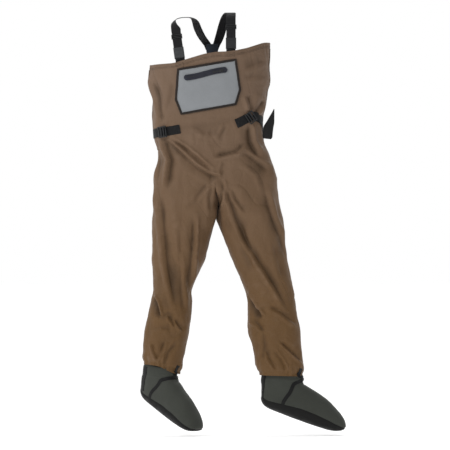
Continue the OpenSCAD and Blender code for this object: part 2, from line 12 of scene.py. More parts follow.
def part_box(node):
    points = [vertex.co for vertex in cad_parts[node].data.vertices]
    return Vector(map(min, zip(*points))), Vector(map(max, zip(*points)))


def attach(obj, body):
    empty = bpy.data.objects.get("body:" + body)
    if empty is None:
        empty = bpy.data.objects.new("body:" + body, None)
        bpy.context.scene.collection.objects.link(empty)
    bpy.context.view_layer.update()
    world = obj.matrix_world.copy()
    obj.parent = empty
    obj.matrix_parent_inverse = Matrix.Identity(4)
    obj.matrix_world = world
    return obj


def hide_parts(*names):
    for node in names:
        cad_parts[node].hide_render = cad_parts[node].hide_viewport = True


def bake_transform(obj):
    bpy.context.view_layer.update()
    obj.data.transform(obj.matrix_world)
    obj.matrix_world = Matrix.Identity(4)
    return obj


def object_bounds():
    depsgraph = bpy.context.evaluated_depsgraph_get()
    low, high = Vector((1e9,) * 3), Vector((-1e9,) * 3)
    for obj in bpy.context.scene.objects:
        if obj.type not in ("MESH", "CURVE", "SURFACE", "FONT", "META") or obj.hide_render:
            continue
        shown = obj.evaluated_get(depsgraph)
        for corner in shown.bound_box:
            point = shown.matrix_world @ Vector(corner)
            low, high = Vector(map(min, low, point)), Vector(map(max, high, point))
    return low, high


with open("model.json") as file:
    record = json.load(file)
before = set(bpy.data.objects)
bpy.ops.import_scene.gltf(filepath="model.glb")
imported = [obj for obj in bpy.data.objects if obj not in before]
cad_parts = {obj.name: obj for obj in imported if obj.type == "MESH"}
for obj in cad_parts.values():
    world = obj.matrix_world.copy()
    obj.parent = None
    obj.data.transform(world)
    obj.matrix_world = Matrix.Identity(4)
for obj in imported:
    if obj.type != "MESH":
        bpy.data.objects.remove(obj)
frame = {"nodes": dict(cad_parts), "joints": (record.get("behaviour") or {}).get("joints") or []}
cad_box = [list(corner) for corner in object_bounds()]

# ---------------------------------------------------------------- camera
VIEW_SPAN = 1.6875      # metres that the picture covers at the object
LENS = 500
SENSOR = 36
VIEW_X, VIEW_Z = 0.0525, -0.797
FRONT_PLANE = -0.06     # depth at which the span holds


def make_camera():
    data = bpy.data.cameras.new("camera")
    data.lens = LENS
    data.sensor_width = SENSOR
    camera = bpy.data.objects.new("camera", data)
    bpy.context.scene.collection.objects.link(camera)
    camera.location = (VIEW_X, FRONT_PLANE - VIEW_SPAN * LENS / SENSOR, VIEW_Z)
    camera.rotation_euler = (math.radians(90), 0, 0)
    bpy.context.scene.camera = camera


make_camera()

# ---------------------------------------------------------------- design values, metres
UP = np.array([0.0, 0.0, 1.0])
CENTRE_X = 0.020
CROTCH_TOP = -0.622     # where the leg tubes begin, front and back
CROTCH_LOW = -0.690     # lowest point between the legs
LEG_PLANE = -0.790      # below this a row of the legs is level
HIP_ROW = -0.520        # the bib's panels end and the hip pieces begin
KNEE_FROM, KNEE_TO = -0.872, -1.108
CLOTH_T = 0.0012

# Outlines as (height, across). Most points come from a scan of the outline, thinned.
TORSO_LEFT = [(-0.100, -0.229), (-0.197, -0.230), (-0.237, -0.236), (-0.268, -0.236),
              (-0.298, -0.229), (-0.328, -0.217), (-0.388, -0.221), (-0.418, -0.217),
              (-0.448, -0.219), (-0.478, -0.213), (-0.508, -0.199), (-0.538, -0.199),
              (-0.568, -0.206), (-0.598, -0.216), (-0.640, -0.217)]
TORSO_RIGHT = [(-0.100, 0.220), (-0.160, 0.221), (-0.268, 0.221), (-0.298, 0.214),
               (-0.328, 0.210), (-0.358, 0.204), (-0.388, 0.198), (-0.433, 0.193),
               (-0.478, 0.199), (-0.508, 0.207), (-0.538, 0.218), (-0.568, 0.229),
               (-0.598, 0.240), (-0.640, 0.253)]
TORSO_DEEP = [(-0.100, 0.112), (-0.200, 0.112), (-0.330, 0.107), (-0.450, 0.097),
              (-0.560, 0.104), (-0.640, 0.103)]
# How squarely the section turns at the side seams: low is a pointed edge
TORSO_SQUARE = [(-0.100, 1.5), (-0.280, 1.6), (-0.400, 2.9), (-0.640, 2.4)]
LEFT_OUT = [(-0.600, -0.216), (-0.748, -0.217), (-0.868, -0.221), (-0.928, -0.221),
            (-0.988, -0.217), (-1.048, -0.213), (-1.078, -0.224), (-1.138, -0.240),
            (-1.198, -0.251), (-1.258, -0.255), (-1.318, -0.251), (-1.400, -0.249)]
LEFT_IN = [(-0.600, 0.020), (-0.695, 0.018), (-0.748, 0.016), (-0.778, 0.011), (-0.838, 0.000),
           (-0.868, -0.007), (-0.928, -0.026), (-0.988, -0.052), (-1.018, -0.066),
           (-1.048, -0.076), (-1.078, -0.071), (-1.138, -0.075), (-1.198, -0.082),
           (-1.258, -0.094), (-1.318, -0.109), (-1.400, -0.128)]
RIGHT_IN = [(-0.600, 0.020), (-0.695, 0.021), (-0.748, 0.021), (-0.778, 0.026), (-0.808, 0.037),
            (-0.868, 0.056), (-0.928, 0.079), (-0.988, 0.105), (-1.048, 0.131),
            (-1.078, 0.139), (-1.138, 0.1425), (-1.198, 0.1435), (-1.258, 0.154),
            (-1.318, 0.165), (-1.348, 0.177), (-1.400, 0.190)]
RIGHT_OUT = [(-0.600, 0.240), (-0.628, 0.251), (-0.688, 0.2625), (-0.748, 0.270),
             (-0.808, 0.2755), (-0.868, 0.2775), (-0.928, 0.285), (-0.988, 0.300),
             (-1.048, 0.311), (-1.138, 0.3225), (-1.198, 0.334), (-1.258, 0.341),
             (-1.318, 0.345), (-1.400, 0.345)]
LEG_DEEP = [(-0.600, 0.103), (-0.760, 0.095), (-0.880, 0.085), (-0.985, 0.079), (-1.100, 0.077),
            (-1.220, 0.071), (-1.318, 0.063), (-1.400, 0.058)]
TOP_EDGE = [(-0.240, -0.197), (-0.215, -0.195), (-0.138, -0.190), (-0.086, -0.174),
            (-0.026, -0.156), (0.022, -0.148), (0.059, -0.147), (0.096, -0.142),
            (0.135, -0.134), (0.176, -0.120), (0.200, -0.112), (0.240, -0.112)]
LEFT_HEM = [(-0.260, -1.320), (-0.225, -1.322), (-0.193, -1.328), (-0.160, -1.345),
            (-0.135, -1.355), (-0.100, -1.358)]
RIGHT_HEM = [(0.170, -1.361), (0.350, -1.366)]


def table(rows, at, blur=0.0):
    """Straight-line lookup of rows (place, value), rounded over about blur."""
    pairs = sorted(rows)
    xs = np.array([p[0] for p in pairs])
    ys = np.array([p[1] for p in pairs])
    at = np.asarray(at, float)
    if not blur:
        return np.interp(at, xs, ys)
    return sum(np.interp(at + d * blur, xs, ys) for d in (-1, -0.5, 0, 0.5, 1)) / 5


def ease(t):
    t = np.clip(t, 0, 1)
    return t * t * (3 - 2 * t)


def unit(v):
    v = np.asarray(v, float)
    return v / np.maximum(np.linalg.norm(v, axis=-1, keepdims=True), 1e-12)


# ---------------------------------------------------------------- the garment as one net of quads
Q = 74          # columns from a centre line round to a side seam
QI = 34         # columns from the crotch's middle up to a centre line
TORSO_ROWS = 132
LEG_ROWS = 205
LEVELS = 260
HEM_ROWS = 5


def quarter(half_w, half_d, a, b, n):
    """n + 1 evenly spaced points from the centre line (0, half_d) to the side (half_w, 0)."""
    u = np.sin(np.linspace(0, math.pi / 2, 400))
    y = half_d * np.power(np.maximum(0, 1 - u ** a), 1 / b)
    x = half_w * u
    run = np.concatenate([[0], np.cumsum(np.hypot(np.diff(x), np.diff(y)))])
    even = np.linspace(0, run[-1], n + 1)
    return np.interp(even, run, x), np.interp(even, run, y)


def torso_section(z):
    """Columns from the front centre by the left side, the back and the right side."""
    left, right = table(TORSO_LEFT, z, 0.012), table(TORSO_RIGHT, z, 0.012)
    deep, square = table(TORSO_DEEP, z, 0.02), table(TORSO_SQUARE, z, 0.02)
    mid, half = (left + right) / 2, (right - left) / 2
    x, y = quarter(half, deep, 3, square, Q)
    xs = np.concatenate([mid - x, mid - x[-2::-1], mid + x[1:], mid + x[-2:0:-1]])
    ys = np.concatenate([-y, y[-2::-1], y[1:], -y[-2:0:-1]])
    return xs, ys


def leg_section(is_left, z):
    """Columns from one centre line by the outer side to the other, then by the inner side."""
    low, high = (LEFT_OUT, LEFT_IN) if is_left else (RIGHT_IN, RIGHT_OUT)
    left, right = table(low, z, 0.012), table(high, z, 0.012)
    deep = table(LEG_DEEP, z, 0.02)
    mid, half = (left + right) / 2, (right - left) / 2
    x, y = quarter(half, deep, 2.4, 2.2, Q)
    xi, yi = quarter(half, deep, 2.4, 2.2, QI)
    if is_left:
        xs = np.concatenate([mid - x, mid - x[-2::-1], mid + xi[1:], mid + xi[-2:0:-1]])
        ys = np.concatenate([-y, y[-2::-1], yi[1:], -yi[-2:0:-1]])
    else:
        xs = np.concatenate([mid + x, mid + x[-2::-1], mid - xi[1:], mid - xi[-2:0:-1]])
        ys = np.concatenate([y, -y[-2::-1], -yi[1:], yi[-2:0:-1]])
    return xs, ys


def section_net(section, low, high):
    """x and y of every column at evenly spaced heights, for reading between."""
    zs = np.linspace(low, high, LEVELS)
    pairs = [section(z) for z in zs]
    return zs, np.array([p[0] for p in pairs]), np.array([p[1] for p in pairs])


def read_net(net, columns, zs):
    levels, xs, ys = net
    t = np.clip((zs - levels[0]) / (levels[-1] - levels[0]), 0, 1) * (LEVELS - 1)
    i = np.minimum(t.astype(int), LEVELS - 2)
    f = t - i
    x = xs[i, columns] * (1 - f) + xs[i + 1, columns] * f
    y = ys[i, columns] * (1 - f) + ys[i + 1, columns] * f
    return x, y


def build_garment():
    """Vertices, quads and a piece name for each quad of the whole garment's outer face."""
    points, quads, tags = [], [], []
    columns = np.arange(4 * Q)
    torso = section_net(torso_section, -0.66, -0.10)
    top_x, _ = read_net(torso, columns, np.full(4 * Q, -0.17))
    top = table(TOP_EDGE, top_x, 0.01)
    top[Q + 1:3 * Q] -= 0.004
    torso_ids = np.zeros((TORSO_ROWS + 1, 4 * Q), int)
    for r in range(TORSO_ROWS + 1):
        z = top + (CROTCH_TOP - top) * r / TORSO_ROWS
        x, y = read_net(torso, columns, z)
        torso_ids[r] = len(points) + columns
        points += list(np.stack([x, y, z], 1))
    for r in range(TORSO_ROWS):
        for c in range(4 * Q):
            d = (c + 1) % (4 * Q)
            quads.append((torso_ids[r, c], torso_ids[r + 1, c], torso_ids[r + 1, d],
                          torso_ids[r, d]))
            z = points[torso_ids[r, c]][2]
            side = "left" if c < 2 * Q else "right"
            if z < HIP_ROW:
                tags.append(side + "_hip")
            elif r < HEM_ROWS:
                tags.append("hem")
            else:
                tags.append("front" if c < Q or c >= 3 * Q else "back")
    last = torso_ids[-1]
    front, back = np.array(points[last[0]]), np.array(points[last[2 * Q]])
    crotch = []
    for k in range(1, 2 * QI):
        turn = math.pi * k / (2 * QI)
        y = front[1] + (back[1] - front[1]) * (1 - math.cos(turn)) / 2
        z = CROTCH_TOP + (CROTCH_LOW - CROTCH_TOP) * math.sin(turn) ** 0.8
        crotch.append(len(points))
        points.append(np.array([front[0] + (CENTRE_X - front[0]) * math.sin(turn), y, z]))
    for is_left in (True, False):
        if is_left:
            ring = list(last[:2 * Q + 1]) + crotch[::-1]
        else:
            ring = list(last[2 * Q:]) + [last[0]] + crotch
        add_leg(is_left, ring, points, quads, tags)
    return np.array(points), np.array(quads), np.array(tags)


def add_leg(is_left, ring, points, quads, tags):
    n = len(ring)
    columns = np.arange(n)
    net = section_net(lambda z: leg_section(is_left, z), -1.42, -0.60)
    start = np.array([points[i] for i in ring])
    hem_x, _ = read_net(net, columns, np.full(n, -1.34))
    hem = table(LEFT_HEM if is_left else RIGHT_HEM, hem_x, 0.01)
    previous = np.array(ring)
    name = "left" if is_left else "right"
    for r in range(1, LEG_ROWS + 1):
        t = r / LEG_ROWS
        z = start[:, 2] + (hem - start[:, 2]) * t
        x, y = read_net(net, columns, z)
        w = ease(np.clip(t / ((CROTCH_TOP - LEG_PLANE) / (CROTCH_TOP + 1.34)), 0, 1))
        x = start[:, 0] * (1 - w) + x * w
        y = start[:, 1] * (1 - w) + y * w
        ids = len(points) + columns
        points += list(np.stack([x, y, z], 1))
        for c in range(n):
            d = (c + 1) % n
            quads.append((previous[c], ids[c], ids[d], previous[d]))
            height = z[c]
            if height > KNEE_FROM:
                tags.append(name + "_hip")
            elif height > KNEE_TO:
                tags.append(name + "_knee")
            elif height > hem[c] + 0.018:
                tags.append(name + "_shin")
            else:
                tags.append(name + "_cuff")
        previous = ids


def vertex_normals(points, quads):
    a, b, c, d = (points[quads[:, k]] for k in range(4))
    face = np.cross(c - a, d - b)
    normals = np.zeros_like(points)
    for k in range(4):
        np.add.at(normals, quads[:, k], face)
    return unit(normals)


def relax(points, quads, weight, steps):
    """Moves each vertex towards the mean of its neighbours, by weight."""
    edges = np.unique(np.sort(np.concatenate(
        [quads[:, [0, 1]], quads[:, [1, 2]], quads[:, [2, 3]], quads[:, [3, 0]]]), 1), axis=0)
    count = np.zeros(len(points))
    np.add.at(count, edges.ravel(), 1)
    for _ in range(steps):
        total = np.zeros_like(points)
        np.add.at(total, edges[:, 0], points[edges[:, 1]])
        np.add.at(total, edges[:, 1], points[edges[:, 0]])
        points = points + weight[:, None] * 0.5 * (total / count[:, None] - points)
    return points


# ---------------------------------------------------------------- folds
# Each crease: points (x, z) down its length, depth, width, and on which side its lip stands
FRONT, BACK = -1, 1
CREASE_DEPTH = 1.3
CREASE_WIDTH = 0.92
CREASES = [
    # bib, left of the pocket and down to the belt
    (FRONT, [(-0.222, -0.255), (-0.200, -0.320), (-0.184, -0.412)], 0.0075, 0.011, 1),
    (FRONT, [(-0.170, -0.380), (-0.150, -0.310), (-0.146, -0.260)], 0.003, 0.012, -1),
    # below the left lock
    (FRONT, [(-0.180, -0.462), (-0.168, -0.506), (-0.150, -0.552), (-0.163, -0.656)],
     0.0110, 0.012, 1),
    (FRONT, [(-0.205, -0.480), (-0.196, -0.560), (-0.203, -0.640)], 0.005, 0.012, 1),
    # the two long diagonals to the crotch
    (FRONT, [(-0.152, -0.474), (-0.098, -0.509), (-0.057, -0.542), (0.004, -0.597)],
     0.0075, 0.010, -1),
    (FRONT, [(-0.160, -0.487), (-0.105, -0.534), (-0.055, -0.580), (0.000, -0.612),
             (0.044, -0.622)], 0.0090, 0.010, -1),
    # right of the belly
    (FRONT, [(0.018, -0.541), (0.060, -0.531), (0.098, -0.522), (0.126, -0.492)],
     0.0095, 0.010, 1),
    (FRONT, [(0.120, -0.524), (0.160, -0.550), (0.218, -0.592)], 0.0065, 0.012, -1),
    (FRONT, [(0.140, -0.425), (0.150, -0.486), (0.180, -0.540)], 0.0110, 0.014, -1),
    (FRONT, [(0.204, -0.330), (0.186, -0.352), (0.170, -0.378)], 0.0085, 0.011, -1),
    (FRONT, [(0.138, -0.312), (0.146, -0.340), (0.152, -0.368)], 0.0080, 0.013, 1),
    (FRONT, [(0.125, -0.247), (0.160, -0.240), (0.205, -0.236)], 0.0030, 0.013, 1),
    (FRONT, [(0.125, -0.212), (0.160, -0.196), (0.205, -0.180)], 0.0030, 0.014, 1),
    (FRONT, [(0.055, -0.424), (0.046, -0.448), (0.030, -0.476)], 0.0030, 0.010, 1),
    (FRONT, [(-0.070, -0.425), (-0.020, -0.450), (0.040, -0.452)], 0.0025, 0.014, 1),
    (FRONT, [(0.050, -0.560), (0.040, -0.590), (0.046, -0.622)], 0.0035, 0.009, 1),
    # dark hollow below the crotch and folds out of it
    (FRONT, [(0.040, -0.628), (0.046, -0.664), (0.026, -0.735)], 0.0085, 0.010, -1),
    (FRONT, [(0.052, -0.650), (0.074, -0.715), (0.093, -0.778), (0.122, -0.842),
             (0.166, -0.914), (0.206, -0.972), (0.242, -1.030), (0.286, -1.108)],
     0.0100, 0.013, 1),
    (FRONT, [(0.078, -0.660), (0.092, -0.700), (0.128, -0.748)], 0.0060, 0.011, 1),
    (FRONT, [(0.016, -0.625), (-0.020, -0.656), (-0.060, -0.700)], 0.0050, 0.012, -1),
    (FRONT, [(0.006, -0.640), (-0.006, -0.690), (-0.002, -0.745)], 0.0050, 0.011, 1),
    # left thigh and shin, long near-vertical hollows
    (FRONT, [(-0.200, -0.656), (-0.186, -0.733), (-0.177, -0.814), (-0.164, -0.948),
             (-0.134, -1.090)], 0.0100, 0.015, 1),
    (FRONT, [(-0.064, -0.762), (-0.066, -0.860), (-0.074, -0.957), (-0.080, -1.030)],
     0.0095, 0.012, -1),
    (FRONT, [(-0.116, -0.800), (-0.112, -0.900), (-0.100, -1.000)], 0.0035, 0.013, 1),
    (FRONT, [(-0.120, -0.905), (-0.112, -1.010), (-0.100, -1.120)], 0.0050, 0.012, -1),
    (FRONT, [(-0.044, -0.690), (-0.060, -0.715), (-0.092, -0.728)], 0.0035, 0.012, 1),
    # knees
    (FRONT, [(-0.220, -1.062), (-0.207, -1.092), (-0.193, -1.140)], 0.0120, 0.010, -1),
    (FRONT, [(-0.158, -1.138), (-0.146, -1.158), (-0.134, -1.176)], 0.0065, 0.008, 1),
    (FRONT, [(-0.134, -1.150), (-0.122, -1.170), (-0.106, -1.192)], 0.0065, 0.008, 1),
    (FRONT, [(-0.224, -1.188), (-0.190, -1.181), (-0.150, -1.188)], 0.0030, 0.011, 1),
    (FRONT, [(-0.196, -1.142), (-0.160, -1.128), (-0.128, -1.132)], 0.0030, 0.010, -1),
    (FRONT, [(0.130, -1.052), (0.165, -1.112), (0.190, -1.146)], 0.0130, 0.011, -1),
    (FRONT, [(0.150, -1.150), (0.176, -1.172), (0.196, -1.196)], 0.0065, 0.009, 1),
    (FRONT, [(0.212, -1.096), (0.262, -1.124), (0.322, -1.170)], 0.0055, 0.011, 1),
    (FRONT, [(0.160, -1.126), (0.205, -1.108), (0.250, -1.112)], 0.0040, 0.012, -1),
    # right thigh, outer side
    (FRONT, [(0.202, -0.668), (0.230, -0.765), (0.262, -0.840), (0.279, -0.915)],
     0.0080, 0.013, -1),
    (FRONT, [(0.125, -0.560), (0.178, -0.600), (0.206, -0.668)], 0.0045, 0.014, 1),
    (FRONT, [(0.112, -0.800), (0.138, -0.880), (0.158, -0.975)], 0.0040, 0.012, -1),
    (FRONT, [(0.232, -0.860), (0.252, -0.930), (0.268, -1.000)], 0.0030, 0.014, 1),
    # right shin and ankle
    (FRONT, [(0.262, -1.236), (0.300, -1.272), (0.343, -1.312)], 0.0075, 0.007, 1),
    (FRONT, [(0.196, -1.200), (0.200, -1.250), (0.192, -1.300)], 0.0050, 0.011, 1),
    (FRONT, [(0.206, -1.268), (0.222, -1.305), (0.246, -1.338)], 0.0060, 0.008, 1),
    (FRONT, [(0.232, -1.262), (0.262, -1.300), (0.285, -1.345)], 0.0045, 0.008, -1),
    # left ankle
    (FRONT, [(-0.222, -1.240), (-0.212, -1.275), (-0.196, -1.306)], 0.0050, 0.007, 1),
    (FRONT, [(-0.174, -1.236), (-0.186, -1.270), (-0.206, -1.300)], 0.0050, 0.008, -1),
    (FRONT, [(-0.130, -1.240), (-0.160, -1.272), (-0.178, -1.322)], 0.0045, 0.008, 1),
    # back: below the yoke, waist, seat and knees
    (BACK, [(-0.150, -0.250), (-0.120, -0.320), (-0.110, -0.400)], 0.0060, 0.013, 1),
    (BACK, [(0.110, -0.220), (0.130, -0.300), (0.120, -0.380)], 0.0060, 0.013, -1),
    (BACK, [(-0.040, -0.270), (-0.030, -0.330), (-0.046, -0.400)], 0.0040, 0.013, 1),
    (BACK, [(0.060, -0.262), (0.064, -0.330), (0.052, -0.385)], 0.0040, 0.013, -1),
    (BACK, [(-0.160, -0.470), (-0.110, -0.540), (-0.030, -0.600), (0.010, -0.640)],
     0.0090, 0.014, -1),
    (BACK, [(0.170, -0.440), (0.130, -0.520), (0.070, -0.590), (0.030, -0.640)],
     0.0090, 0.014, 1),
    (BACK, [(-0.100, -0.470), (-0.070, -0.520), (-0.020, -0.560)], 0.0055, 0.013, -1),
    (BACK, [(0.100, -0.450), (0.080, -0.510), (0.040, -0.550)], 0.0055, 0.013, 1),
    (BACK, [(-0.190, -0.640), (-0.140, -0.690), (-0.070, -0.720), (-0.010, -0.715)],
     0.0080, 0.014, 1),
    (BACK, [(0.230, -0.650), (0.180, -0.700), (0.110, -0.725), (0.050, -0.715)],
     0.0080, 0.014, -1),
    (BACK, [(-0.160, -0.760), (-0.140, -0.860), (-0.150, -0.960)], 0.0060, 0.015, 1),
    (BACK, [(0.190, -0.760), (0.200, -0.860), (0.235, -0.950)], 0.0060, 0.015, -1),
    (BACK, [(-0.200, -0.985), (-0.150, -1.000), (-0.080, -0.980)], 0.0090, 0.011, 1),
    (BACK, [(-0.200, -1.035), (-0.140, -1.045), (-0.090, -1.030)], 0.0080, 0.011, -1),
    (BACK, [(0.115, -0.985), (0.190, -1.000), (0.285, -0.975)], 0.0090, 0.011, 1),
    (BACK, [(0.145, -1.035), (0.220, -1.050), (0.300, -1.030)], 0.0080, 0.011, -1),
    (BACK, [(-0.220, -1.120), (-0.170, -1.180), (-0.120, -1.230)], 0.0060, 0.013, 1),
    (BACK, [(0.320, -1.120), (0.260, -1.190), (0.190, -1.250)], 0.0060, 0.013, -1),
    (BACK, [(-0.150, -1.230), (-0.180, -1.280), (-0.190, -1.320)], 0.0050, 0.009, 1),
    (BACK, [(0.230, -1.260), (0.240, -1.300), (0.230, -1.345)], 0.0050, 0.009, -1),
]


def crease_height(points, facing, side, line, depth, width, lip):
    """Height of one crease at every point: a sharp valley with a soft lip beside it."""
    line = np.array(line)
    xz = points[:, [0, 2]]
    lengths = np.linalg.norm(np.diff(line, axis=0), axis=1)
    total = lengths.sum()
    best = np.full(len(points), 1e9)
    signed = np.zeros(len(points))
    place = np.zeros(len(points))
    run = 0.0
    for a, b, length in zip(line[:-1], line[1:], lengths):
        d = (b - a) / length
        rel = xz - a
        t = rel @ d
        clipped = np.clip(t, 0, length)
        away = rel - clipped[:, None] * d
        dist = np.linalg.norm(away, axis=1)
        turn = np.where(rel[:, 0] * d[1] - rel[:, 1] * d[0] > 0, 1.0, -1.0)
        beyond = np.where(t < 0, t, np.where(t > length, t - length, 0))
        closer = dist < best
        best = np.where(closer, dist, best)
        signed = np.where(closer, dist * turn, signed)
        place = np.where(closer, (run + clipped + beyond) / total, place)
        run += length
    fade = ease((place + 0.10) / 0.30) * ease((1.10 - place) / 0.30)
    mask = ease((facing * side + 0.05) / 0.45)
    t = signed * lip / (0.72 * width)
    valley = -np.exp(-np.abs(t / np.where(t > 0, 0.75, 2.1)) ** 1.15)
    ridge = 0.62 * np.exp(-((t - 1.75) / 0.95) ** 2)
    ridge += 0.20 * np.exp(-((t + 4.2) / 1.9) ** 2)
    near = best < 5 * width
    return np.where(near, depth * fade * mask * (valley + ridge), 0)


def noise_at(points, scales, seed, octaves=2):
    shift = Vector((seed * 7.3, seed * 3.1, seed * 5.7))
    out = np.empty(len(points))
    sx, sy, sz = scales
    for i, p in enumerate(points):
        q = Vector((p[0] * sx, p[1] * sy, p[2] * sz)) + shift
        value = noise.noise(q)
        if octaves > 1:
            value += 0.5 * noise.noise(q * 2.1)
        out[i] = value
    return out


POCKET = [(-0.127, -0.212), (0.096, -0.174), (0.113, -0.291), (0.096, -0.347),
          (-0.114, -0.384), (-0.135, -0.330)]
POCKET_MIDDLE = (-0.011, -0.288)
BELT_MID, BELT_SLOPE = -0.418, 0.17


def belt_height(x):
    return BELT_MID + BELT_SLOPE * x


def calm(points, normals):
    """Near 0 where something is sewn or held flat, 1 elsewhere."""
    x, z = points[:, 0], points[:, 2]
    front = normals[:, 1] < -0.2
    du = np.abs(x - POCKET_MIDDLE[0]) / 0.150
    dv = np.abs(z - POCKET_MIDDLE[1] - 0.17 * (x - POCKET_MIDDLE[0])) / 0.110
    pocket = ease((np.maximum(du, dv) - 0.86) / 0.22)
    out = np.where(front, 0.12 + 0.88 * pocket, 1.0)
    for centre in (-0.116, 0.075):
        tab = ease((np.abs(x - centre) - 0.02) / 0.02)
        out = np.where(front & (z > -0.235), np.minimum(out, 0.25 + 0.75 * tab), out)
    belt = ease((np.abs(z - belt_height(x)) - 0.012) / 0.022)
    out *= 0.15 + 0.85 * belt
    yoke = ease((np.hypot((x - 0.004) / 0.035, (z + 0.20) / 0.06) - 0.9) / 0.5)
    return np.where(~front & (z > -0.27), out * (0.2 + 0.8 * yoke), out)


def fold_garment(points, quads):
    """The folded points and each vertex's fold height, for the cloth's painted shade in its folds
    and painted highlight on their ridges.
    """
    x, z = points[:, 0], points[:, 2]
    crotch_near = ease(1 - np.hypot(x - CENTRE_X, (z + 0.67)) / 0.16)
    points = relax(points, quads, 0.9 * crotch_near, 30)
    # the legs meet in an S below the crotch, so that no light shows between them
    y = points[:, 1]
    inner = ease(1 - np.abs(x - CENTRE_X) / 0.075) * ease((-0.665 - z) / 0.05)
    inner *= ease((z + 0.835) / 0.06)
    points[:, 0] += 0.0085 * inner * np.sin(np.clip(-y / 0.05, -1, 1) * math.pi / 2)
    normals = vertex_normals(points, quads)
    quiet = calm(points, normals)
    height = np.zeros(len(points))
    for side, line, depth, width, lip in CREASES:
        height += crease_height(points, normals[:, 1], side, line, CREASE_DEPTH * depth,
                                CREASE_WIDTH * width, lip)
    long_waves = noise_at(points, (11, 11, 4.0), 1)
    cross_waves = noise_at(points, (6, 6, 15), 2)
    small = noise_at(points, (34, 34, 16), 3)
    ridged = 0.5 - np.abs(noise_at(points, (17, 17, 7.5), 4))
    height += quiet * (0.0048 * long_waves + 0.0026 * cross_waves + 0.0007 * small
                       + 0.0030 * ridged)
    # sharp little tucks where the noise crosses its middle
    for seed, scales, deep in ((8, (9, 9, 5), 0.0026), (9, (15, 15, 11), 0.0018)):
        crossing = np.abs(noise_at(points, scales, seed, 1))
        where = ease(noise_at(points, (5, 5, 5), seed + 3, 1) * 2.2 + 0.35)
        height -= quiet * where * deep * np.exp(-crossing / 0.035)
    near_belt = np.exp(-((z - belt_height(x)) / 0.020) ** 2)
    height -= 0.0030 * near_belt
    puff = np.abs(z - belt_height(x))
    gathers = noise_at(points, (60, 60, 7), 5, 1)
    height += 0.0030 * gathers * np.exp(-((puff - 0.038) / 0.022) ** 2) * quiet
    hem = np.where(x < 0.0, table(LEFT_HEM, x), table(RIGHT_HEM, x))
    over_hem = np.clip(z - hem, 0, 1)
    gathers = noise_at(points, (95, 95, 12), 6, 1)
    height += 0.0036 * gathers * np.exp(-((over_hem - 0.020) / 0.024) ** 2)
    height += 0.0030 * np.exp(-((over_hem - 0.030) / 0.016) ** 2)
    height -= 0.0022 * np.exp(-((over_hem - 0.010) / 0.006) ** 2)
    folded = points + normals * height[:, None]
    folded = relax(folded, quads, np.full(len(points), 0.35), 1)
    folded[:, 2] = np.where(z > -0.23, np.where(folded[:, 2] > z + 0.002, z, folded[:, 2]),
                            folded[:, 2])
    return folded, height


# ---------------------------------------------------------------- meshes
def new_object(name, mesh):
    obj = bpy.data.objects.new(name, mesh)
    bpy.context.scene.collection.objects.link(obj)
    return obj


def shell(name, points, quads, normals, heights, thickness):
    """A cloth of that thickness from a net of quads, with true normals kept at its edges."""
    used, back = np.unique(quads.ravel(), return_inverse=True)
    local = back.reshape(quads.shape)
    n = len(used)
    outer = points[used]
    inner = outer - normals[used] * thickness
    edges = np.concatenate([local[:, [0, 1]], local[:, [1, 2]], local[:, [2, 3]],
                            local[:, [3, 0]]])
    keys = np.sort(edges, 1)
    _, first, counts = np.unique(keys, axis=0, return_index=True, return_counts=True)
    rim = edges[first[counts == 1]]
    faces = [tuple(q) for q in local]
    faces += [tuple(q[::-1] + n) for q in local]
    faces += [(b, a, a + n, b + n) for a, b in rim]
    mesh = bpy.data.meshes.new(name)
    mesh.from_pydata([tuple(p) for p in np.concatenate([outer, inner])], [], faces)
    mesh.update()
    attribute = mesh.attributes.new("fold", "FLOAT", "POINT")
    attribute.data.foreach_set("value", np.tile(heights[used], 2).astype(np.float32))
    mesh.polygons.foreach_set("use_smooth", np.ones(len(faces), bool))
    loops = []
    outer_n, inner_n = normals[used], -normals[used]
    for q in local:
        loops += [tuple(outer_n[v]) for v in q]
    for q in local:
        loops += [tuple(inner_n[v]) for v in q[::-1]]
    for a, b in rim:
        edge = outer[b] - outer[a]
        side = np.cross(edge, outer_n[a])
        side = -side / max(np.linalg.norm(side), 1e-9)
        loops += [tuple(side)] * 4
    mesh.normals_split_custom_set(loops)
    return new_object(name, mesh)


def lay_uv(mesh, coords):
    """coords: one (u, v) in metres for each vertex."""
    layer = mesh.uv_layers.new(name="cloth")
    flat = np.empty((len(mesh.loops), 2), np.float32)
    index = np.empty(len(mesh.loops), np.int32)
    mesh.loops.foreach_get("vertex_index", index)
    flat[:] = np.asarray(coords, np.float32)[index]
    layer.data.foreach_set("uv", flat.ravel())


def smooth_path(points, spacing=0.004, closed=False):
    """Catmull-Rom through the points (rows may hold more than a place), evenly resampled."""
    p = np.asarray(points, float)
    n = len(p)
    if closed:
        get = lambda i: p[i % n]
        spans = n
    else:
        get = lambda i: p[min(max(i, 0), n - 1)]
        spans = n - 1
    out = []
    for i in range(spans):
        a, b, c, d = get(i - 1), get(i), get(i + 1), get(i + 2)
        count = max(2, int(np.linalg.norm((c - b)[:3]) / spacing))
        for k in range(count):
            t = k / count
            out.append(0.5 * ((2 * b) + (c - a) * t + (2 * a - 5 * b + 4 * c - d) * t ** 2
                              + (3 * b - a - 3 * c + d) * t ** 3))
    if not closed:
        out.append(p[-1])
    return np.array(out)


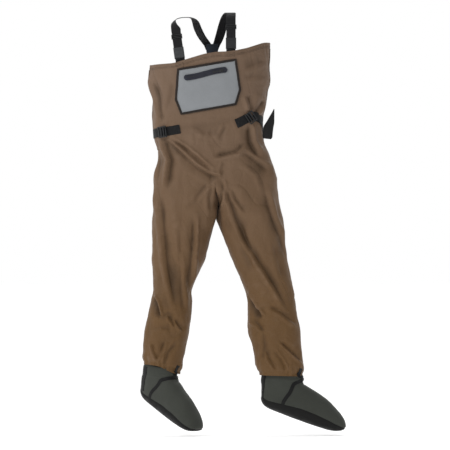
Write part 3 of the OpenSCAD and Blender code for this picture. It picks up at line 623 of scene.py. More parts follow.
def ribbon(name, centres, across, thickness, closed=False, crown=0.0, edge=0.35):
    """A flat band. across holds half-width vectors; crown lifts its middle."""
    centres, across = np.asarray(centres, float), np.asarray(across, float)
    n = len(centres)
    if closed:
        along = np.roll(centres, -1, 0) - np.roll(centres, 1, 0)
    else:
        along = np.gradient(centres, axis=0)
    normal = unit(np.cross(across, unit(along)))
    half = thickness / 2
    inset = 1 - min(0.5, edge * thickness / max(1e-6, float(np.linalg.norm(across, axis=1).mean())))
    lines = [-inset, -0.75, -0.5, -0.25, 0, 0.25, 0.5, 0.75, inset]
    profile = [(-1, -0.4 * half), (-1, 0.4 * half)]
    profile += [(u, half + crown * (1 - u * u)) for u in lines]
    profile += [(1, 0.4 * half), (1, -0.4 * half)]
    profile += [(u, -half) for u in lines[::-1]]
    m = len(profile)
    rows = []
    for c, a, k in zip(centres, across, normal):
        rows += [c + a * u + k * v for u, v in profile]
    faces = []
    for i in range(n if closed else n - 1):
        j = (i + 1) % n
        for k in range(m):
            q = (k + 1) % m
            faces.append((i * m + k, i * m + q, j * m + q, j * m + k))
    if not closed:
        faces.append(tuple(range(m))[::-1])
        faces.append(tuple((n - 1) * m + k for k in range(m)))
    mesh = bpy.data.meshes.new(name)
    mesh.from_pydata([tuple(p) for p in rows], [], faces)
    mesh.update()
    run = np.concatenate([[0], np.cumsum(np.linalg.norm(np.diff(centres, axis=0), axis=1))])
    width = np.linalg.norm(across, axis=1)
    lay_uv(mesh, [(u * width[i], run[i]) for i in range(n) for u, v in profile])
    flip_if_inside_out(mesh)
    mesh.polygons.foreach_set("use_smooth", np.ones(len(mesh.polygons), bool))
    mesh.set_sharp_from_angle(angle=math.radians(50))
    return new_object(name, mesh)


def flip_if_inside_out(mesh):
    total = 0.0
    for poly in mesh.polygons:
        total += poly.center.dot(poly.normal) * poly.area
    if total < 0:
        mesh.flip_normals()
        mesh.update()


def closed_grid(name, top, bottom):
    """A thin solid between two grids of points of the same shape."""
    top, bottom = np.asarray(top, float), np.asarray(bottom, float)
    rows, cols = top.shape[:2]
    n = rows * cols
    faces = []
    for i in range(rows - 1):
        for j in range(cols - 1):
            p = i * cols + j
            faces.append((p, p + 1, p + cols + 1, p + cols))
            faces.append((n + p, n + p + cols, n + p + cols + 1, n + p + 1))
    border = [(0, j) for j in range(cols)] + [(i, cols - 1) for i in range(1, rows)]
    border += [(rows - 1, j) for j in range(cols - 2, -1, -1)]
    border += [(i, 0) for i in range(rows - 2, 0, -1)]
    ids = [i * cols + j for i, j in border]
    for a, b in zip(ids, ids[1:] + ids[:1]):
        faces.append((b, a, n + a, n + b))
    mesh = bpy.data.meshes.new(name)
    mesh.from_pydata([tuple(p) for p in np.concatenate([top.reshape(-1, 3),
                                                        bottom.reshape(-1, 3)])], [], faces)
    mesh.update()
    flip_if_inside_out(mesh)
    mesh.polygons.foreach_set("use_smooth", np.ones(len(mesh.polygons), bool))
    mesh.set_sharp_from_angle(angle=math.radians(55))
    return new_object(name, mesh)


def stitches(name, path, normals, pitch=0.0045, length=0.0030, width=0.0009, height=0.0005):
    """A row of thread stitches along a path that lies on a surface."""
    path, normals = np.asarray(path, float), unit(normals)
    run = np.concatenate([[0], np.cumsum(np.linalg.norm(np.diff(path, axis=0), axis=1))])
    places = np.arange(pitch, run[-1] - pitch / 2, pitch)
    centres = np.stack([np.interp(places, run, path[:, k]) for k in range(3)], 1)
    ups = unit(np.stack([np.interp(places, run, normals[:, k]) for k in range(3)], 1))
    ahead = np.stack([np.interp(places + 0.0005, run, path[:, k]) for k in range(3)], 1)
    dirs = unit(ahead - centres)
    sides = unit(np.cross(dirs, ups))
    verts, faces = [], []
    shape = [(-0.5, 0, -0.2), (-0.3, -0.5, 0), (-0.3, 0.5, 0), (-0.25, 0, 1), (0.25, 0, 1),
             (0.3, -0.5, 0), (0.3, 0.5, 0), (0.5, 0, -0.2)]
    caps = [(0, 1, 3), (0, 3, 2), (1, 5, 4, 3), (3, 4, 6, 2), (5, 7, 4), (4, 7, 6), (0, 2, 1),
            (1, 2, 6, 5), (5, 6, 7)]
    for c, d, s, u in zip(centres, dirs, sides, ups):
        base = len(verts)
        verts += [tuple(c + d * a * length + s * b * width + u * k * height) for a, b, k in shape]
        faces += [tuple(base + i for i in f) for f in caps]
    mesh = bpy.data.meshes.new(name)
    mesh.from_pydata(verts, [], faces)
    mesh.update()
    mesh.polygons.foreach_set("use_smooth", np.ones(len(mesh.polygons), bool))
    return new_object(name, mesh)


# ---------------------------------------------------------------- materials
class Paint:
    """A Principled material and short ways to add nodes to it."""

    def __init__(self, name, roughness=0.7, **sockets):
        self.material = bpy.data.materials.new(name)
        self.material.use_nodes = True
        self.tree = self.material.node_tree
        self.shader = self.tree.nodes["Principled BSDF"]
        self.shader.inputs["Roughness"].default_value = roughness
        for key, value in sockets.items():
            self.shader.inputs[key.replace("_", " ")].default_value = value

    def add(self, kind, **settings):
        node = self.tree.nodes.new(kind)
        for key, value in settings.items():
            setattr(node, key, value)
        return node

    def link(self, out, into):
        self.tree.links.new(out, into)
        return out

    def place(self):
        return self.add("ShaderNodeTexCoord").outputs["Object"]

    def uv(self):
        return self.add("ShaderNodeTexCoord").outputs["UV"]

    def noise(self, scale, detail=3, vector=None, stretch=None):
        node = self.add("ShaderNodeTexNoise")
        node.inputs["Scale"].default_value = scale
        node.inputs["Detail"].default_value = detail
        vector = vector or self.place()
        if stretch:
            mapping = self.add("ShaderNodeMapping")
            mapping.inputs["Scale"].default_value = stretch
            self.link(vector, mapping.inputs["Vector"])
            vector = mapping.outputs["Vector"]
        self.link(vector, node.inputs["Vector"])
        return node.outputs["Fac"]

    def wave(self, scale, direction, vector, distortion=0.0):
        node = self.add("ShaderNodeTexWave", bands_direction=direction)
        node.inputs["Scale"].default_value = scale
        node.inputs["Distortion"].default_value = distortion
        self.link(vector, node.inputs["Vector"])
        return node.outputs["Fac"]

    def math(self, how, a, b):
        node = self.add("ShaderNodeMath", operation=how)
        for k, value in enumerate((a, b)):
            if isinstance(value, (int, float)):
                node.inputs[k].default_value = value
            else:
                self.link(value, node.inputs[k])
        return node.outputs["Value"]

    def ramp(self, fac, low, high):
        """fac from low to high, made 0 to 1."""
        node = self.add("ShaderNodeMapRange")
        node.inputs["From Min"].default_value = low
        node.inputs["From Max"].default_value = high
        self.link(fac, node.inputs["Value"])
        return node.outputs["Result"]

    def mix(self, fac, a, b):
        node = self.add("ShaderNodeMix", data_type="RGBA")
        for socket, value in ((node.inputs[0], fac), (node.inputs[6], a), (node.inputs[7], b)):
            if isinstance(value, tuple):
                socket.default_value = (*value, 1)
            elif isinstance(value, (int, float)):
                socket.default_value = value
            else:
                self.link(value, socket)
        return node.outputs[2]

    def colour(self, socket):
        self.link(socket, self.shader.inputs["Base Color"])

    def rough(self, fac, low, high):
        node = self.add("ShaderNodeMapRange")
        node.inputs["To Min"].default_value = low
        node.inputs["To Max"].default_value = high
        self.link(fac, node.inputs["Value"])
        self.link(node.outputs["Result"], self.shader.inputs["Roughness"])

    def bump(self, layers):
        """layers: (height, strength, distance) from the coarsest to the finest."""
        normal = None
        for height, strength, distance in layers:
            node = self.add("ShaderNodeBump")
            node.inputs["Strength"].default_value = strength
            node.inputs["Distance"].default_value = distance
            self.link(height, node.inputs["Height"])
            if normal:
                self.link(normal, node.inputs["Normal"])
            normal = node.outputs["Normal"]
        self.link(normal, self.shader.inputs["Normal"])


def srgb(r, g, b):
    """A colour given as 0 to 255 on screen, in the renderer's light values."""
    return tuple((c / 255 / 12.92) if c / 255 <= 0.04045 else ((c / 255 + 0.055) / 1.055) ** 2.4
                 for c in (r, g, b))


def cloth_material(name, high, low, valley=0.68):
    """Coated nylon with light painted in: lighter and greyer at the chest and darker and warmer down
    the legs as painted light from above, painted shade darkening its folds and a patchy painted
    highlight on their ridges.
    """
    p = Paint(name, 0.64, Sheen_Weight=0.04, Sheen_Roughness=0.4, Specular_IOR_Level=0.34)
    place = p.place()
    split = p.add("ShaderNodeSeparateXYZ")
    p.link(place, split.inputs[0])
    # painted light from above: the colour runs with height from the chest tone (high) to the darker,
    # warmer leg tone (low)
    down = p.ramp(split.outputs["Z"], -0.30, -1.15)
    base = p.mix(down, high, low)
    cloud = p.ramp(p.noise(5.0, 4, place), 0.34, 0.68)
    base = p.mix(p.math("MULTIPLY", cloud, 0.30), base, tuple(c * 0.72 for c in low))
    fleck = p.ramp(p.noise(420, 2, place), 0.35, 0.70)
    base = p.mix(p.math("MULTIPLY", fleck, 0.16), base, tuple(c * 1.35 for c in high))
    # painted shade: the deeper a fold's valley, the darker its colour, by up to valley towards a
    # dark brown
    fold = p.add("ShaderNodeAttribute", attribute_name="fold")
    deep = p.ramp(fold.outputs["Fac"], -0.0015, -0.011)
    base = p.mix(p.math("MULTIPLY", deep, valley), base, tuple(c * 0.30 for c in low))
    # painted highlight: fold ridges are painted lighter, broken into patches by the noise called
    # scuff
    painted_ridge_highlight = p.ramp(fold.outputs["Fac"], 0.002, 0.008)
    scuff = p.ramp(p.noise(38, 5, place), 0.42, 0.62)
    base = p.mix(p.math("MULTIPLY", p.math("MULTIPLY", painted_ridge_highlight, scuff), 0.22), base,
                 tuple(min(1, c * 1.5) for c in high))
    p.colour(base)
    warp = p.wave(330, "X", place, 0.6)
    weft = p.wave(330, "Z", place, 0.6)
    weave = p.math("ADD", warp, weft)
    layers = []
    for scale, stretch, strength in ((11, (1.0, 1.0, 0.55), 0.22), (27, (1.0, 1.0, 0.75), 0.14)):
        field = p.noise(scale, 1.5, place, stretch)
        line = p.ramp(p.math("ABSOLUTE", p.math("SUBTRACT", field, 0.5), 0.0), 0.0, 0.035)
        layers.append((line, strength, 0.0026))
    p.bump(layers + [(p.noise(90, 3, place), 0.10, 0.0010), (weave, 0.10, 0.0003)])
    p.rough(p.noise(60, 3, place), 0.58, 0.78)
    return p.material


def webbing_material(name, tone, rib_along=False):
    """Ribbed woven band: ribs across it for webbing, along it for elastic."""
    p = Paint(name, 0.72, Sheen_Weight=0.06, Sheen_Roughness=0.4, Specular_IOR_Level=0.22)
    uv = p.uv()
    ribs = p.wave(150, "X" if rib_along else "Y", uv, 0.3)
    cross = p.wave(260, "Y" if rib_along else "X", uv, 0.5)
    dust = p.ramp(p.noise(90, 4), 0.40, 0.72)
    base = p.mix(p.math("MULTIPLY", ribs, 0.45), tone, tuple(c * 0.45 for c in tone))
    base = p.mix(p.math("MULTIPLY", dust, 0.25), base, tuple(c * 2.1 + 0.004 for c in tone))
    p.colour(base)
    p.bump([(ribs, 0.55, 0.0006), (cross, 0.30, 0.0003)])
    p.rough(dust, 0.62, 0.82)
    return p.material


def plastic_material(name, tone):
    p = Paint(name, 0.42, Specular_IOR_Level=0.45)
    place = p.place()
    grain = p.noise(900, 2, place)
    scuff = p.ramp(p.noise(140, 5, place), 0.52, 0.66)
    p.colour(p.mix(p.math("MULTIPLY", scuff, 0.30), tone, tuple(c * 1.9 + 0.01 for c in tone)))
    p.bump([(p.noise(70, 3, place), 0.10, 0.0006), (grain, 0.16, 0.0002)])
    p.rough(scuff, 0.36, 0.60)
    return p.material


def neoprene_material(name, tone):
    """Jersey-faced foam rubber: a fine knit with soft, faded patches."""
    p = Paint(name, 0.86, Sheen_Weight=0.08, Sheen_Roughness=0.5, Specular_IOR_Level=0.2)
    place = p.place()
    knit = p.add("ShaderNodeTexVoronoi")
    knit.inputs["Scale"].default_value = 620
    p.link(place, knit.inputs["Vector"])
    cloud = p.ramp(p.noise(14, 4, place), 0.35, 0.68)
    base = p.mix(p.math("MULTIPLY", cloud, 0.35), tone, tuple(c * 0.72 for c in tone))
    base = p.mix(p.math("MULTIPLY", knit.outputs["Distance"], 0.35), base,
                 tuple(c * 1.5 for c in tone))
    p.colour(base)
    p.bump([(p.noise(30, 4, place), 0.30, 0.003), (knit.outputs["Distance"], 0.25, 0.0005)])
    p.rough(cloud, 0.80, 0.92)
    return p.material


def tape_material(name, tone, roughness=0.5):
    p = Paint(name, roughness, Specular_IOR_Level=0.22)
    place = p.place()
    patch = p.ramp(p.noise(55, 4, place), 0.40, 0.66)
    p.colour(p.mix(p.math("MULTIPLY", patch, 0.4), tone, tuple(c * 1.8 + 0.003 for c in tone)))
    p.bump([(p.noise(160, 4, place), 0.25, 0.0008), (p.noise(700, 2, place), 0.12, 0.0002)])
    p.rough(patch, roughness - 0.08, roughness + 0.14)
    return p.material


def sole_material(name, tone):
    """Moulded rubber with a fine chequer."""
    p = Paint(name, 0.66, Specular_IOR_Level=0.2)
    place = p.place()
    one = p.wave(60, "X", place, 0.0)
    two = p.wave(60, "Y", place, 0.0)
    pattern = p.math("MULTIPLY", one, two)
    patch = p.ramp(p.noise(45, 4, place), 0.42, 0.66)
    p.colour(p.mix(p.math("MULTIPLY", patch, 0.5), tone, tuple(c * 2.2 + 0.003 for c in tone)))
    p.bump([(pattern, 0.35, 0.0008), (p.noise(400, 3, place), 0.15, 0.0003)])
    p.rough(patch, 0.52, 0.74)
    return p.material


# UPPER and LOWER: the cloth's chest and leg tones; the chest being lighter than the legs is painted
# light from above
UPPER = srgb(108, 87, 70)
LOWER = srgb(95, 67, 32)
MAT = {
    "cloth": cloth_material("coated_nylon", UPPER, LOWER),
    # the hem gets the same painted light, with weaker painted shade in its folds
    "hem": cloth_material("folded_hem_nylon", tuple(c * 0.92 for c in UPPER), LOWER, 0.4),
    "binding": webbing_material("dark_binding", srgb(38, 32, 29)),
    "webbing": webbing_material("black_webbing", srgb(19, 19, 20)),
    "elastic": webbing_material("black_elastic", srgb(21, 21, 23), True),
    "plastic": plastic_material("moulded_buckle", srgb(22, 23, 25)),
    # the left buckle's lighter grey plastic is painted light: a lit copy of the black buckle plastic
    "painted_lit_plastic": plastic_material("painted_lit_buckle", srgb(46, 48, 50)),
    "zip_tape": tape_material("coated_zip_tape", srgb(36, 37, 46), 0.48),
    "metal": plastic_material("painted_slider", srgb(24, 24, 27)),
    "patch": webbing_material("yoke_cloth", srgb(50, 56, 65)),
    "neoprene": neoprene_material("jersey_neoprene", srgb(57, 59, 54)),
    "tape": tape_material("seam_tape", srgb(12, 12, 12), 0.6),
    "sole": sole_material("rubber_sole", srgb(11, 11, 10)),
    "thread": tape_material("dark_thread", srgb(58, 48, 40), 0.7),
    "black_thread": tape_material("black_thread", srgb(50, 50, 52), 0.7),
}


def pocket_material():
    p = Paint("pocket_nylon", 0.62, Sheen_Weight=0.10, Specular_IOR_Level=0.35)
    tone = srgb(129, 132, 135)
    place = p.place()
    cloud = p.ramp(p.noise(11, 4, place), 0.36, 0.68)
    base = p.mix(p.math("MULTIPLY", cloud, 0.30), tone, tuple(c * 0.80 for c in tone))
    fleck = p.ramp(p.noise(500, 2, place), 0.40, 0.66)
    base = p.mix(p.math("MULTIPLY", fleck, 0.18), base, tuple(c * 1.20 for c in tone))
    grid_x = p.ramp(p.wave(40, "X", place), 0.985, 1.0)
    grid_z = p.ramp(p.wave(40, "Z", place), 0.985, 1.0)
    ripstop = p.math("MAXIMUM", grid_x, grid_z)
    base = p.mix(p.math("MULTIPLY", ripstop, 0.10), base, tuple(c * 0.6 for c in tone))
    p.colour(base)
    p.bump([(p.noise(34, 4, place), 0.25, 0.003), (ripstop, 0.15, 0.0003),
            (p.noise(600, 2, place), 0.12, 0.0002)])
    p.rough(cloud, 0.55, 0.72)
    return p.material


MAT["pocket"] = pocket_material()


def finish_piece(obj, body, material, nodes=()):
    obj.data.materials.clear()
    obj.data.materials.append(MAT[material])
    if nodes:
        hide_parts(*nodes)
    if body:
        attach(obj, body)
    return obj


points, quads, tags = build_garment()
if vertex_normals(points, quads)[Q, 0] > 0:
    quads = quads[:, ::-1]
points, heights = fold_garment(points, quads)
normals = vertex_normals(points, quads)
surface = BVHTree.FromPolygons([tuple(p) for p in points], [tuple(q) for q in quads])


def garment_piece(tag, name):
    chosen = quads[tags == tag]
    obj = shell(name, points, chosen, normals, heights, CLOTH_T)
    return obj


def make_garment():
    front = garment_piece("front", "bib_front_cloth")
    finish_piece(front, "bib", "cloth", ["bib_front_panel"])
    back = garment_piece("back", "bib_back_cloth")
    finish_piece(back, "bib", "cloth", ["bib_back_panel"])
    hem = garment_piece("hem", "top_hem_cloth")
    finish_piece(hem, "bib", "hem", ["top_hem"])
    for side in ("left", "right"):
        hip = garment_piece(side + "_hip", side + "_thigh_cloth")
        finish_piece(hip, None, "cloth",
                     [side + "_thigh"] + (["crotch_gusset"] if side == "left" else []))
        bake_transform(hip)
        knee = garment_piece(side + "_knee", side + "_knee_cloth")
        finish_piece(knee, None, "cloth")
        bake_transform(knee)
        shin = garment_piece(side + "_shin", side + "_shin_cloth")
        finish_piece(shin, side + "_lower_leg", "cloth", [side + "_shin"])
        cuff = garment_piece(side + "_cuff", side + "_cuff_cloth")
        finish_piece(cuff, side + "_lower_leg", "hem", [side + "_ankle_cuff"])


make_garment()


def onto(x, z, front=True, off=0.0):
    """The point of the garment's front or back at (x, z), raised by off, and its normal."""
    y, d = (-1, 1) if front else (1, -1)
    hit, normal, _, _ = surface.ray_cast(Vector((x, y, z)), Vector((0, d, 0)))
    if hit is None:
        hit, normal, _, _ = surface.find_nearest(Vector((x, -0.1 if front else 0.1, z)))
    normal = Vector(normal)
    if normal.y * y < 0:
        normal = -normal
    return np.array(hit + normal * off), np.array(normal)


def smooth_rows(grid, steps):
    """Evens out a grid of points, keeping its border."""
    grid = grid.copy()
    for _ in range(steps):
        inner = (grid[:-2, 1:-1] + grid[2:, 1:-1] + grid[1:-1, :-2] + grid[1:-1, 2:]) / 4
        grid[1:-1, 1:-1] = 0.5 * grid[1:-1, 1:-1] + 0.5 * inner
    return grid


# ---------------------------------------------------------------- chest pocket
BINDING_W = 0.0085


def shrink(outline, d):
    c = np.array(POCKET_MIDDLE)
    return [tuple(c + (np.array(p) - c) * (1 - d / 0.095)) for p in outline]


def make_pocket():
    q = [np.array(p) for p in shrink(POCKET, BINDING_W * 0.6)]
    rows, cols = 40, 52

    def edge(t, low, middle, high):
        return low + (middle - low) * t * 2 if t < 0.5 else middle + (high - middle) * (t * 2 - 1)

    grid = np.zeros((rows + 1, cols + 1, 3))
    for i in range(rows + 1):
        t = i / rows
        a, b = edge(t, q[4], q[5], q[0]), edge(t, q[3], q[2], q[1])
        for j in range(cols + 1):
            s = j / cols
            x, z = a + (b - a) * s
            swell = 0.004 * (math.sin(math.pi * s) * math.sin(math.pi * t)) ** 0.6
            swell += 0.0012 * noise.noise(Vector((x * 26, 3.0, z * 34)))
            grid[i, j] = onto(x, z, True, 0.0022 + swell)[0]
    grid = smooth_rows(grid, 6)
    obj = closed_grid("chest_pocket_cloth", grid, grid + np.array([0, 0.0014, 0]))
    finish_piece(obj, "bib", "pocket", ["pocket_panel"])

    outline = []
    mid = shrink(POCKET, BINDING_W * 0.45)
    for i in range(6):
        a, b = np.array(mid[i]), np.array(mid[(i + 1) % 6])
        steps = max(4, int(np.linalg.norm(b - a) / 0.008))
        outline += [a + (b - a) * k / steps for k in range(steps)]
    centres, across, ups = [], [], []
    n = len(outline)
    for i, p in enumerate(outline):
        wobble = 0.0006 * noise.noise(Vector((p[0] * 60, 1.0, p[1] * 60)))
        place, normal = onto(p[0], p[1], True, 0.0036)
        ahead = np.array(outline[(i + 1) % n]) - np.array(outline[i - 1])
        side = np.array([-ahead[1], 0, ahead[0]])
        side = unit(side - normal * side.dot(normal))
        corner = 1.0
        for k in range(6):
            if np.linalg.norm(p - np.array(mid[k])) < 0.001:
                corner = 1.12
        centres.append(place + side * wobble)
        across.append(side * BINDING_W / 2 * corner)
        ups.append(normal)
    obj = ribbon("pocket_binding_tape", centres, across, 0.0022, closed=True, crown=0.0008)
    finish_piece(obj, "bib", "binding", ["pocket_binding"])
    for k, inset in enumerate((0.30, -0.30)):
        line = [c - a * 2 * inset + u * 0.0016 for c, a, u in zip(centres, across, ups)]
        line.append(line[0])
        obj = stitches("pocket_stitch_%d" % k, line, ups + [ups[0]])
        finish_piece(obj, "bib", "thread")


# ---------------------------------------------------------------- zipper
def joint_named(name):
    return next(j for j in frame["joints"] if j["name"] == name)


def make_zipper():
    low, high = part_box("zipper_tape")
    axis = -np.array(joint_named("zipper_slide")["axis"])
    middle = np.array([(low.x + high.x) / 2, (low.y + high.y) / 2, (low.z + high.z) / 2])
    length, width = 0.166, 0.0215
    r = width / 2
    up = unit(np.cross(np.array([0, 1.0, 0]), axis))
    up = up if up[2] > 0 else -up
    n = 66
    centres, across = [], []
    for i in range(n + 1):
        s = -length / 2 + length * i / n
        bend = 0.0026 * math.sin(s / (length / 2) * math.pi * 0.9) - 0.016 * s
        end = max(0.0, abs(s) - (length / 2 - r))
        half = max(0.0012, math.sqrt(max(0.0, r * r - end * end)))
        place = middle + axis * s + up * bend
        surface_y = onto(place[0], place[2], True, 0.0)[0][1]
        place[1] = min(low.y + 0.0003, surface_y - 0.0062)
        centres.append(place)
        across.append(up * half)
    obj = ribbon("zipper_tape_cloth", centres, across, 0.0018, crown=0.0006)
    finish_piece(obj, "bib", "zip_tape", ["zipper_tape"])
    # the two coated lips that meet over the teeth
    for k, sign in enumerate((-1, 1)):
        lip = [c + up * sign * 0.0021 + np.array([0, -0.0013, 0]) for c in centres[6:-6]]
        obj = ribbon("zipper_lip_%d" % k, lip, [up * 0.0019] * len(lip), 0.0012, crown=0.0005)
        finish_piece(obj, "bib", "zip_tape")
    edge = [c + a * 0.86 + np.array([0, -0.0010, 0]) for c, a in zip(centres, across)]
    edge += [c - a * 0.86 + np.array([0, -0.0010, 0]) for c, a in zip(centres[::-1],
                                                                    across[::-1])]
    obj = stitches("zipper_stitch", edge, [(0, -1, 0)] * len(edge))
    finish_piece(obj, "bib", "black_thread")
    for name in ("zipper_teeth", "zipper_end_stops", "zipper_slider", "zipper_pull"):
        dress_node(name, "metal", 0.0004)


def dress_node(name, material, bevel):
    """A CAD piece kept as it is, with its edges rounded and its material set."""
    obj = frame["nodes"][name]
    obj.data.materials.clear()
    obj.data.materials.append(MAT[material])
    round_off = obj.modifiers.new("rounded", "BEVEL")
    round_off.width = bevel
    round_off.segments = 3
    round_off.limit_method = "ANGLE"
    round_off.angle_limit = math.radians(40)
    return obj


# ---------------------------------------------------------------- waist belt
BELT_W = 0.034
WEB_T = 0.0018
WEBBING_LIFT = 0.0017
# A tack: a stitched box with a cross in it
CROSSED_BOX = ((-1, -1), (1, -1), (1, 1), (-1, 1), (-1, -1), (1, 1), (1, -1), (-1, 1))
TACK_HALF = 0.008
TACK_PITCH = 0.0035
TACK_LENGTH = 0.0026


def back_height(x):
    return BELT_MID - 0.0245 + 0.057 * x


def belt_line(xs, front, off):
    rows = [onto(x, belt_height(x), front, off) for x in xs]
    return [r[0] for r in rows], [r[1] for r in rows]


def make_belt():
    low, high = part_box("left_waist_tab")
    xs = np.linspace(low.x - 0.014, high.x, 12)
    centres, ups = belt_line(xs, True, 0.0022)
    belt_piece("left_waist_tab_web", centres, ups, "left_waist_tab", 0.0)
    low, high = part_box("right_waist_tab")
    right = [(0.094, -0.4180), (0.104, -0.4140), (0.116, -0.4080), (0.128, -0.4010),
             (0.140, -0.3950), (0.150, -0.3910)]
    rows = [onto(x, z, True, 0.0024) for x, z in right]
    belt_piece("right_waist_tab_web", [r[0] for r in rows], [r[1] for r in rows],
               "right_waist_tab", 0.0)
    # the belt round the back, from lock to lock
    centres, ups = [], []
    first, last = 222, -43
    for t in np.linspace(first, last, 130):
        a = math.radians(t)
        aim = np.array([math.cos(a) * 0.205, math.sin(a) * 0.10])
        x = aim[0] - 0.011
        level = back_height(x)
        if t > 180:
            level += (belt_height(x) - level) * (t - 180) / (first - 180)
        elif t < 0:
            level += (-0.388 - level) * ease(t / last)
        origin = Vector((-0.011, 0.0, level))
        way = Vector((aim[0], aim[1], 0)).normalized()
        hit, normal, _, _ = surface.ray_cast(origin + way * 0.5, -way)
        if hit is None:
            continue
        normal = Vector(normal) if Vector(normal).dot(way) > 0 else -Vector(normal)
        normal = (normal + way * 0.6).normalized()
        centres.append(np.array(hit + normal * 0.0030))
        ups.append(np.array(normal))
    belt_piece("back_belt_web", centres, ups, "back_belt", 0.0, smooth=True)
    for k, x in enumerate((-0.110, -0.010, 0.090)):
        loop_over(k, x)
    tail()
    for name in ("left_belt_lock", "right_belt_lock"):
        dress_node(name, "plastic", 0.0009)


def belt_piece(name, centres, ups, node, crown, smooth=False):
    centres, ups = np.array(centres), unit(np.array(ups))
    if smooth:
        for _ in range(6):
            centres[1:-1] = (centres[:-2] + 2 * centres[1:-1] + centres[2:]) / 4
            ups[1:-1] = unit(ups[:-2] + 2 * ups[1:-1] + ups[2:])
    along = unit(np.gradient(centres, axis=0))
    across = unit(np.cross(ups, along)) * BELT_W / 2
    across = np.where(across[:, 2:3] < 0, -across, across)
    obj = ribbon(name, centres, across, WEB_T, crown=crown)
    finish_piece(obj, "bib", "webbing", [node])
    box_stitch(name + "_tack", centres[-3:] if "left" in name else centres[:3],
               across, ups, name)
    return obj


def box_stitch(name, centres, across, ups, near):
    """The tack on a waist tab's end; other belt pieces have none."""
    if "waist_tab" not in near:
        return
    c = np.array(centres[1])
    a, u = across[1], ups[1]
    along = unit(centres[2] - centres[0])
    corners = [c + along * TACK_HALF * i + a * 0.8 * j + u * 0.0012 for i, j in CROSSED_BOX]
    obj = stitches(name, corners, [u] * len(corners), TACK_PITCH, TACK_LENGTH)
    finish_piece(obj, "bib", "black_thread")


def loop_over(k, x):
    half = BELT_W / 2
    heights = [-half - 0.012, -half - 0.006, -half - 0.002, -half * 0.5, 0, half * 0.5,
               half + 0.002, half + 0.006, half + 0.012]
    lifts = [0.0016, 0.0018, 0.0050, 0.0060, 0.0062, 0.0060, 0.0050, 0.0018, 0.0016]
    rows = [onto(x, back_height(x) + h, False, lift) for h, lift in zip(heights, lifts)]
    path = smooth_path([r[0] for r in rows], 0.003)
    across = [np.array([0.007, 0, 0.0004])] * len(path)
    obj = ribbon("belt_loop_%d" % k, path, across, 0.0016)
    finish_piece(obj, "bib", "binding", ["belt_loops"])


def tail():
    """The belt's loose end, standing up beside the waist."""
    path = [(0.210, -0.062, -0.4740, 0.80), (0.2115, -0.062, -0.4660, 1.0),
            (0.213, -0.062, -0.450, 1.0), (0.2155, -0.061, -0.430, 1.0),
            (0.2225, -0.060, -0.412, 0.80), (0.228, -0.059, -0.393, 0.52),
            (0.233, -0.058, -0.376, 0.26), (0.2365, -0.057, -0.362, 0.06)]
    rows = smooth_path(path, 0.004)
    across = [np.array([0.0185, -0.0050, -0.002]) * r[3] for r in rows]
    obj = ribbon("belt_tail_web", rows[:, :3], across, WEB_T)
    finish_piece(obj, "belt_tail", "webbing", ["belt_tail"])


# ---------------------------------------------------------------- braces
BRACE_W = 0.035


def strap_frame(side):
    """Foot, direction and outward normal of a front brace, from its buckle's joint."""
    d = unit(joint_named(side + "_buckle_release")["axis"])
    low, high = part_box(side + "_buckle_socket")
    middle = (np.array(low) + np.array(high)) / 2
    out = unit(np.array([0, -1.0, 0]) - d * (-d[1]))
    foot = middle - d * 0.021
    return foot, d, out


def make_brace(side, over):
    foot, d, out = strap_frame(side)
    right = unit(np.cross(d, -out))
    right = right if right[0] > 0 else -right
    half = BRACE_W / 2
    # tab sewn inside the hem, up to the socket
    x = foot[0]
    top = float(table(TOP_EDGE, x))
    rows = []
    for k in (0.026, 0.018, 0.010, 0.003, -0.004):
        ends = []
        for e in (-1, 1):
            rim = float(table(TOP_EDGE, x + e * half))
            ends.append(onto(x + e * half, rim - max(k, 0.003), True, -0.0036)[0])
            ends[-1] = np.array(ends[-1]) + (0, 0, 0.003 - min(k, 0.003))
        rows.append((*((ends[0] + ends[1]) / 2), *((ends[1] - ends[0]) / 2)))
    rows.append((*(foot + d * 0.0085), *(right * half)))
    rows = smooth_path(rows, 0.003)
    obj = ribbon(side + "_strap_tab_web", rows[:, :3], rows[:, 3:], WEB_T)
    finish_piece(obj, "bib", "webbing", [side + "_strap_tab"])
    tack = [onto(x + half * 0.8 * i, top - 0.014 + TACK_HALF * j, True, 0.0003)[0]
            for i, j in CROSSED_BOX]
    obj = stitches(side + "_strap_tab_stitch", tack, [(0, -1, 0)] * len(tack), TACK_PITCH,
                   TACK_LENGTH)
    finish_piece(obj, "bib", "thread")
    # buckle halves and slider; the left halves' lighter grey is painted light, a lit copy of the
    # right ones' black plastic
    dress_node(side + "_buckle_socket", "painted_lit_plastic" if side == "left" else "plastic", 0.0014)
    dress_node(side + "_buckle_plug", "painted_lit_plastic" if side == "left" else "plastic", 0.0014)
    dress_node(side + "_triglide", "plastic", 0.0007)
    # the webbing end that goes with the plug
    plug_top = 0.0475
    end_length = 0.0475
    path = [foot + d * (plug_top + k) + out * WEBBING_LIFT for k in np.linspace(0, end_length, 14)]
    obj = ribbon(side + "_strap_end_web", path, [right * half] * len(path), WEB_T)
    finish_piece(obj, side + "_buckle_half", "elastic", [side + "_strap_webbing"])
    # the elastic over the shoulder to the yoke
    rows = []
    for k in (0.080, 0.095, 0.110, 0.125):
        rows.append((*(foot + d * k - out * 0.0007), *(right * half)))
    for x, y, z, turn, width in over:
        a = math.radians(turn)
        rows.append((x, y, z, math.cos(a) * width, math.sin(a) * width, 0))
    rows = smooth_path(rows, 0.004)
    obj = ribbon(side + "_brace_elastic", rows[:, :3], rows[:, 3:], WEB_T)
    finish_piece(obj, "bib", "elastic", [side + "_shoulder_strap"])


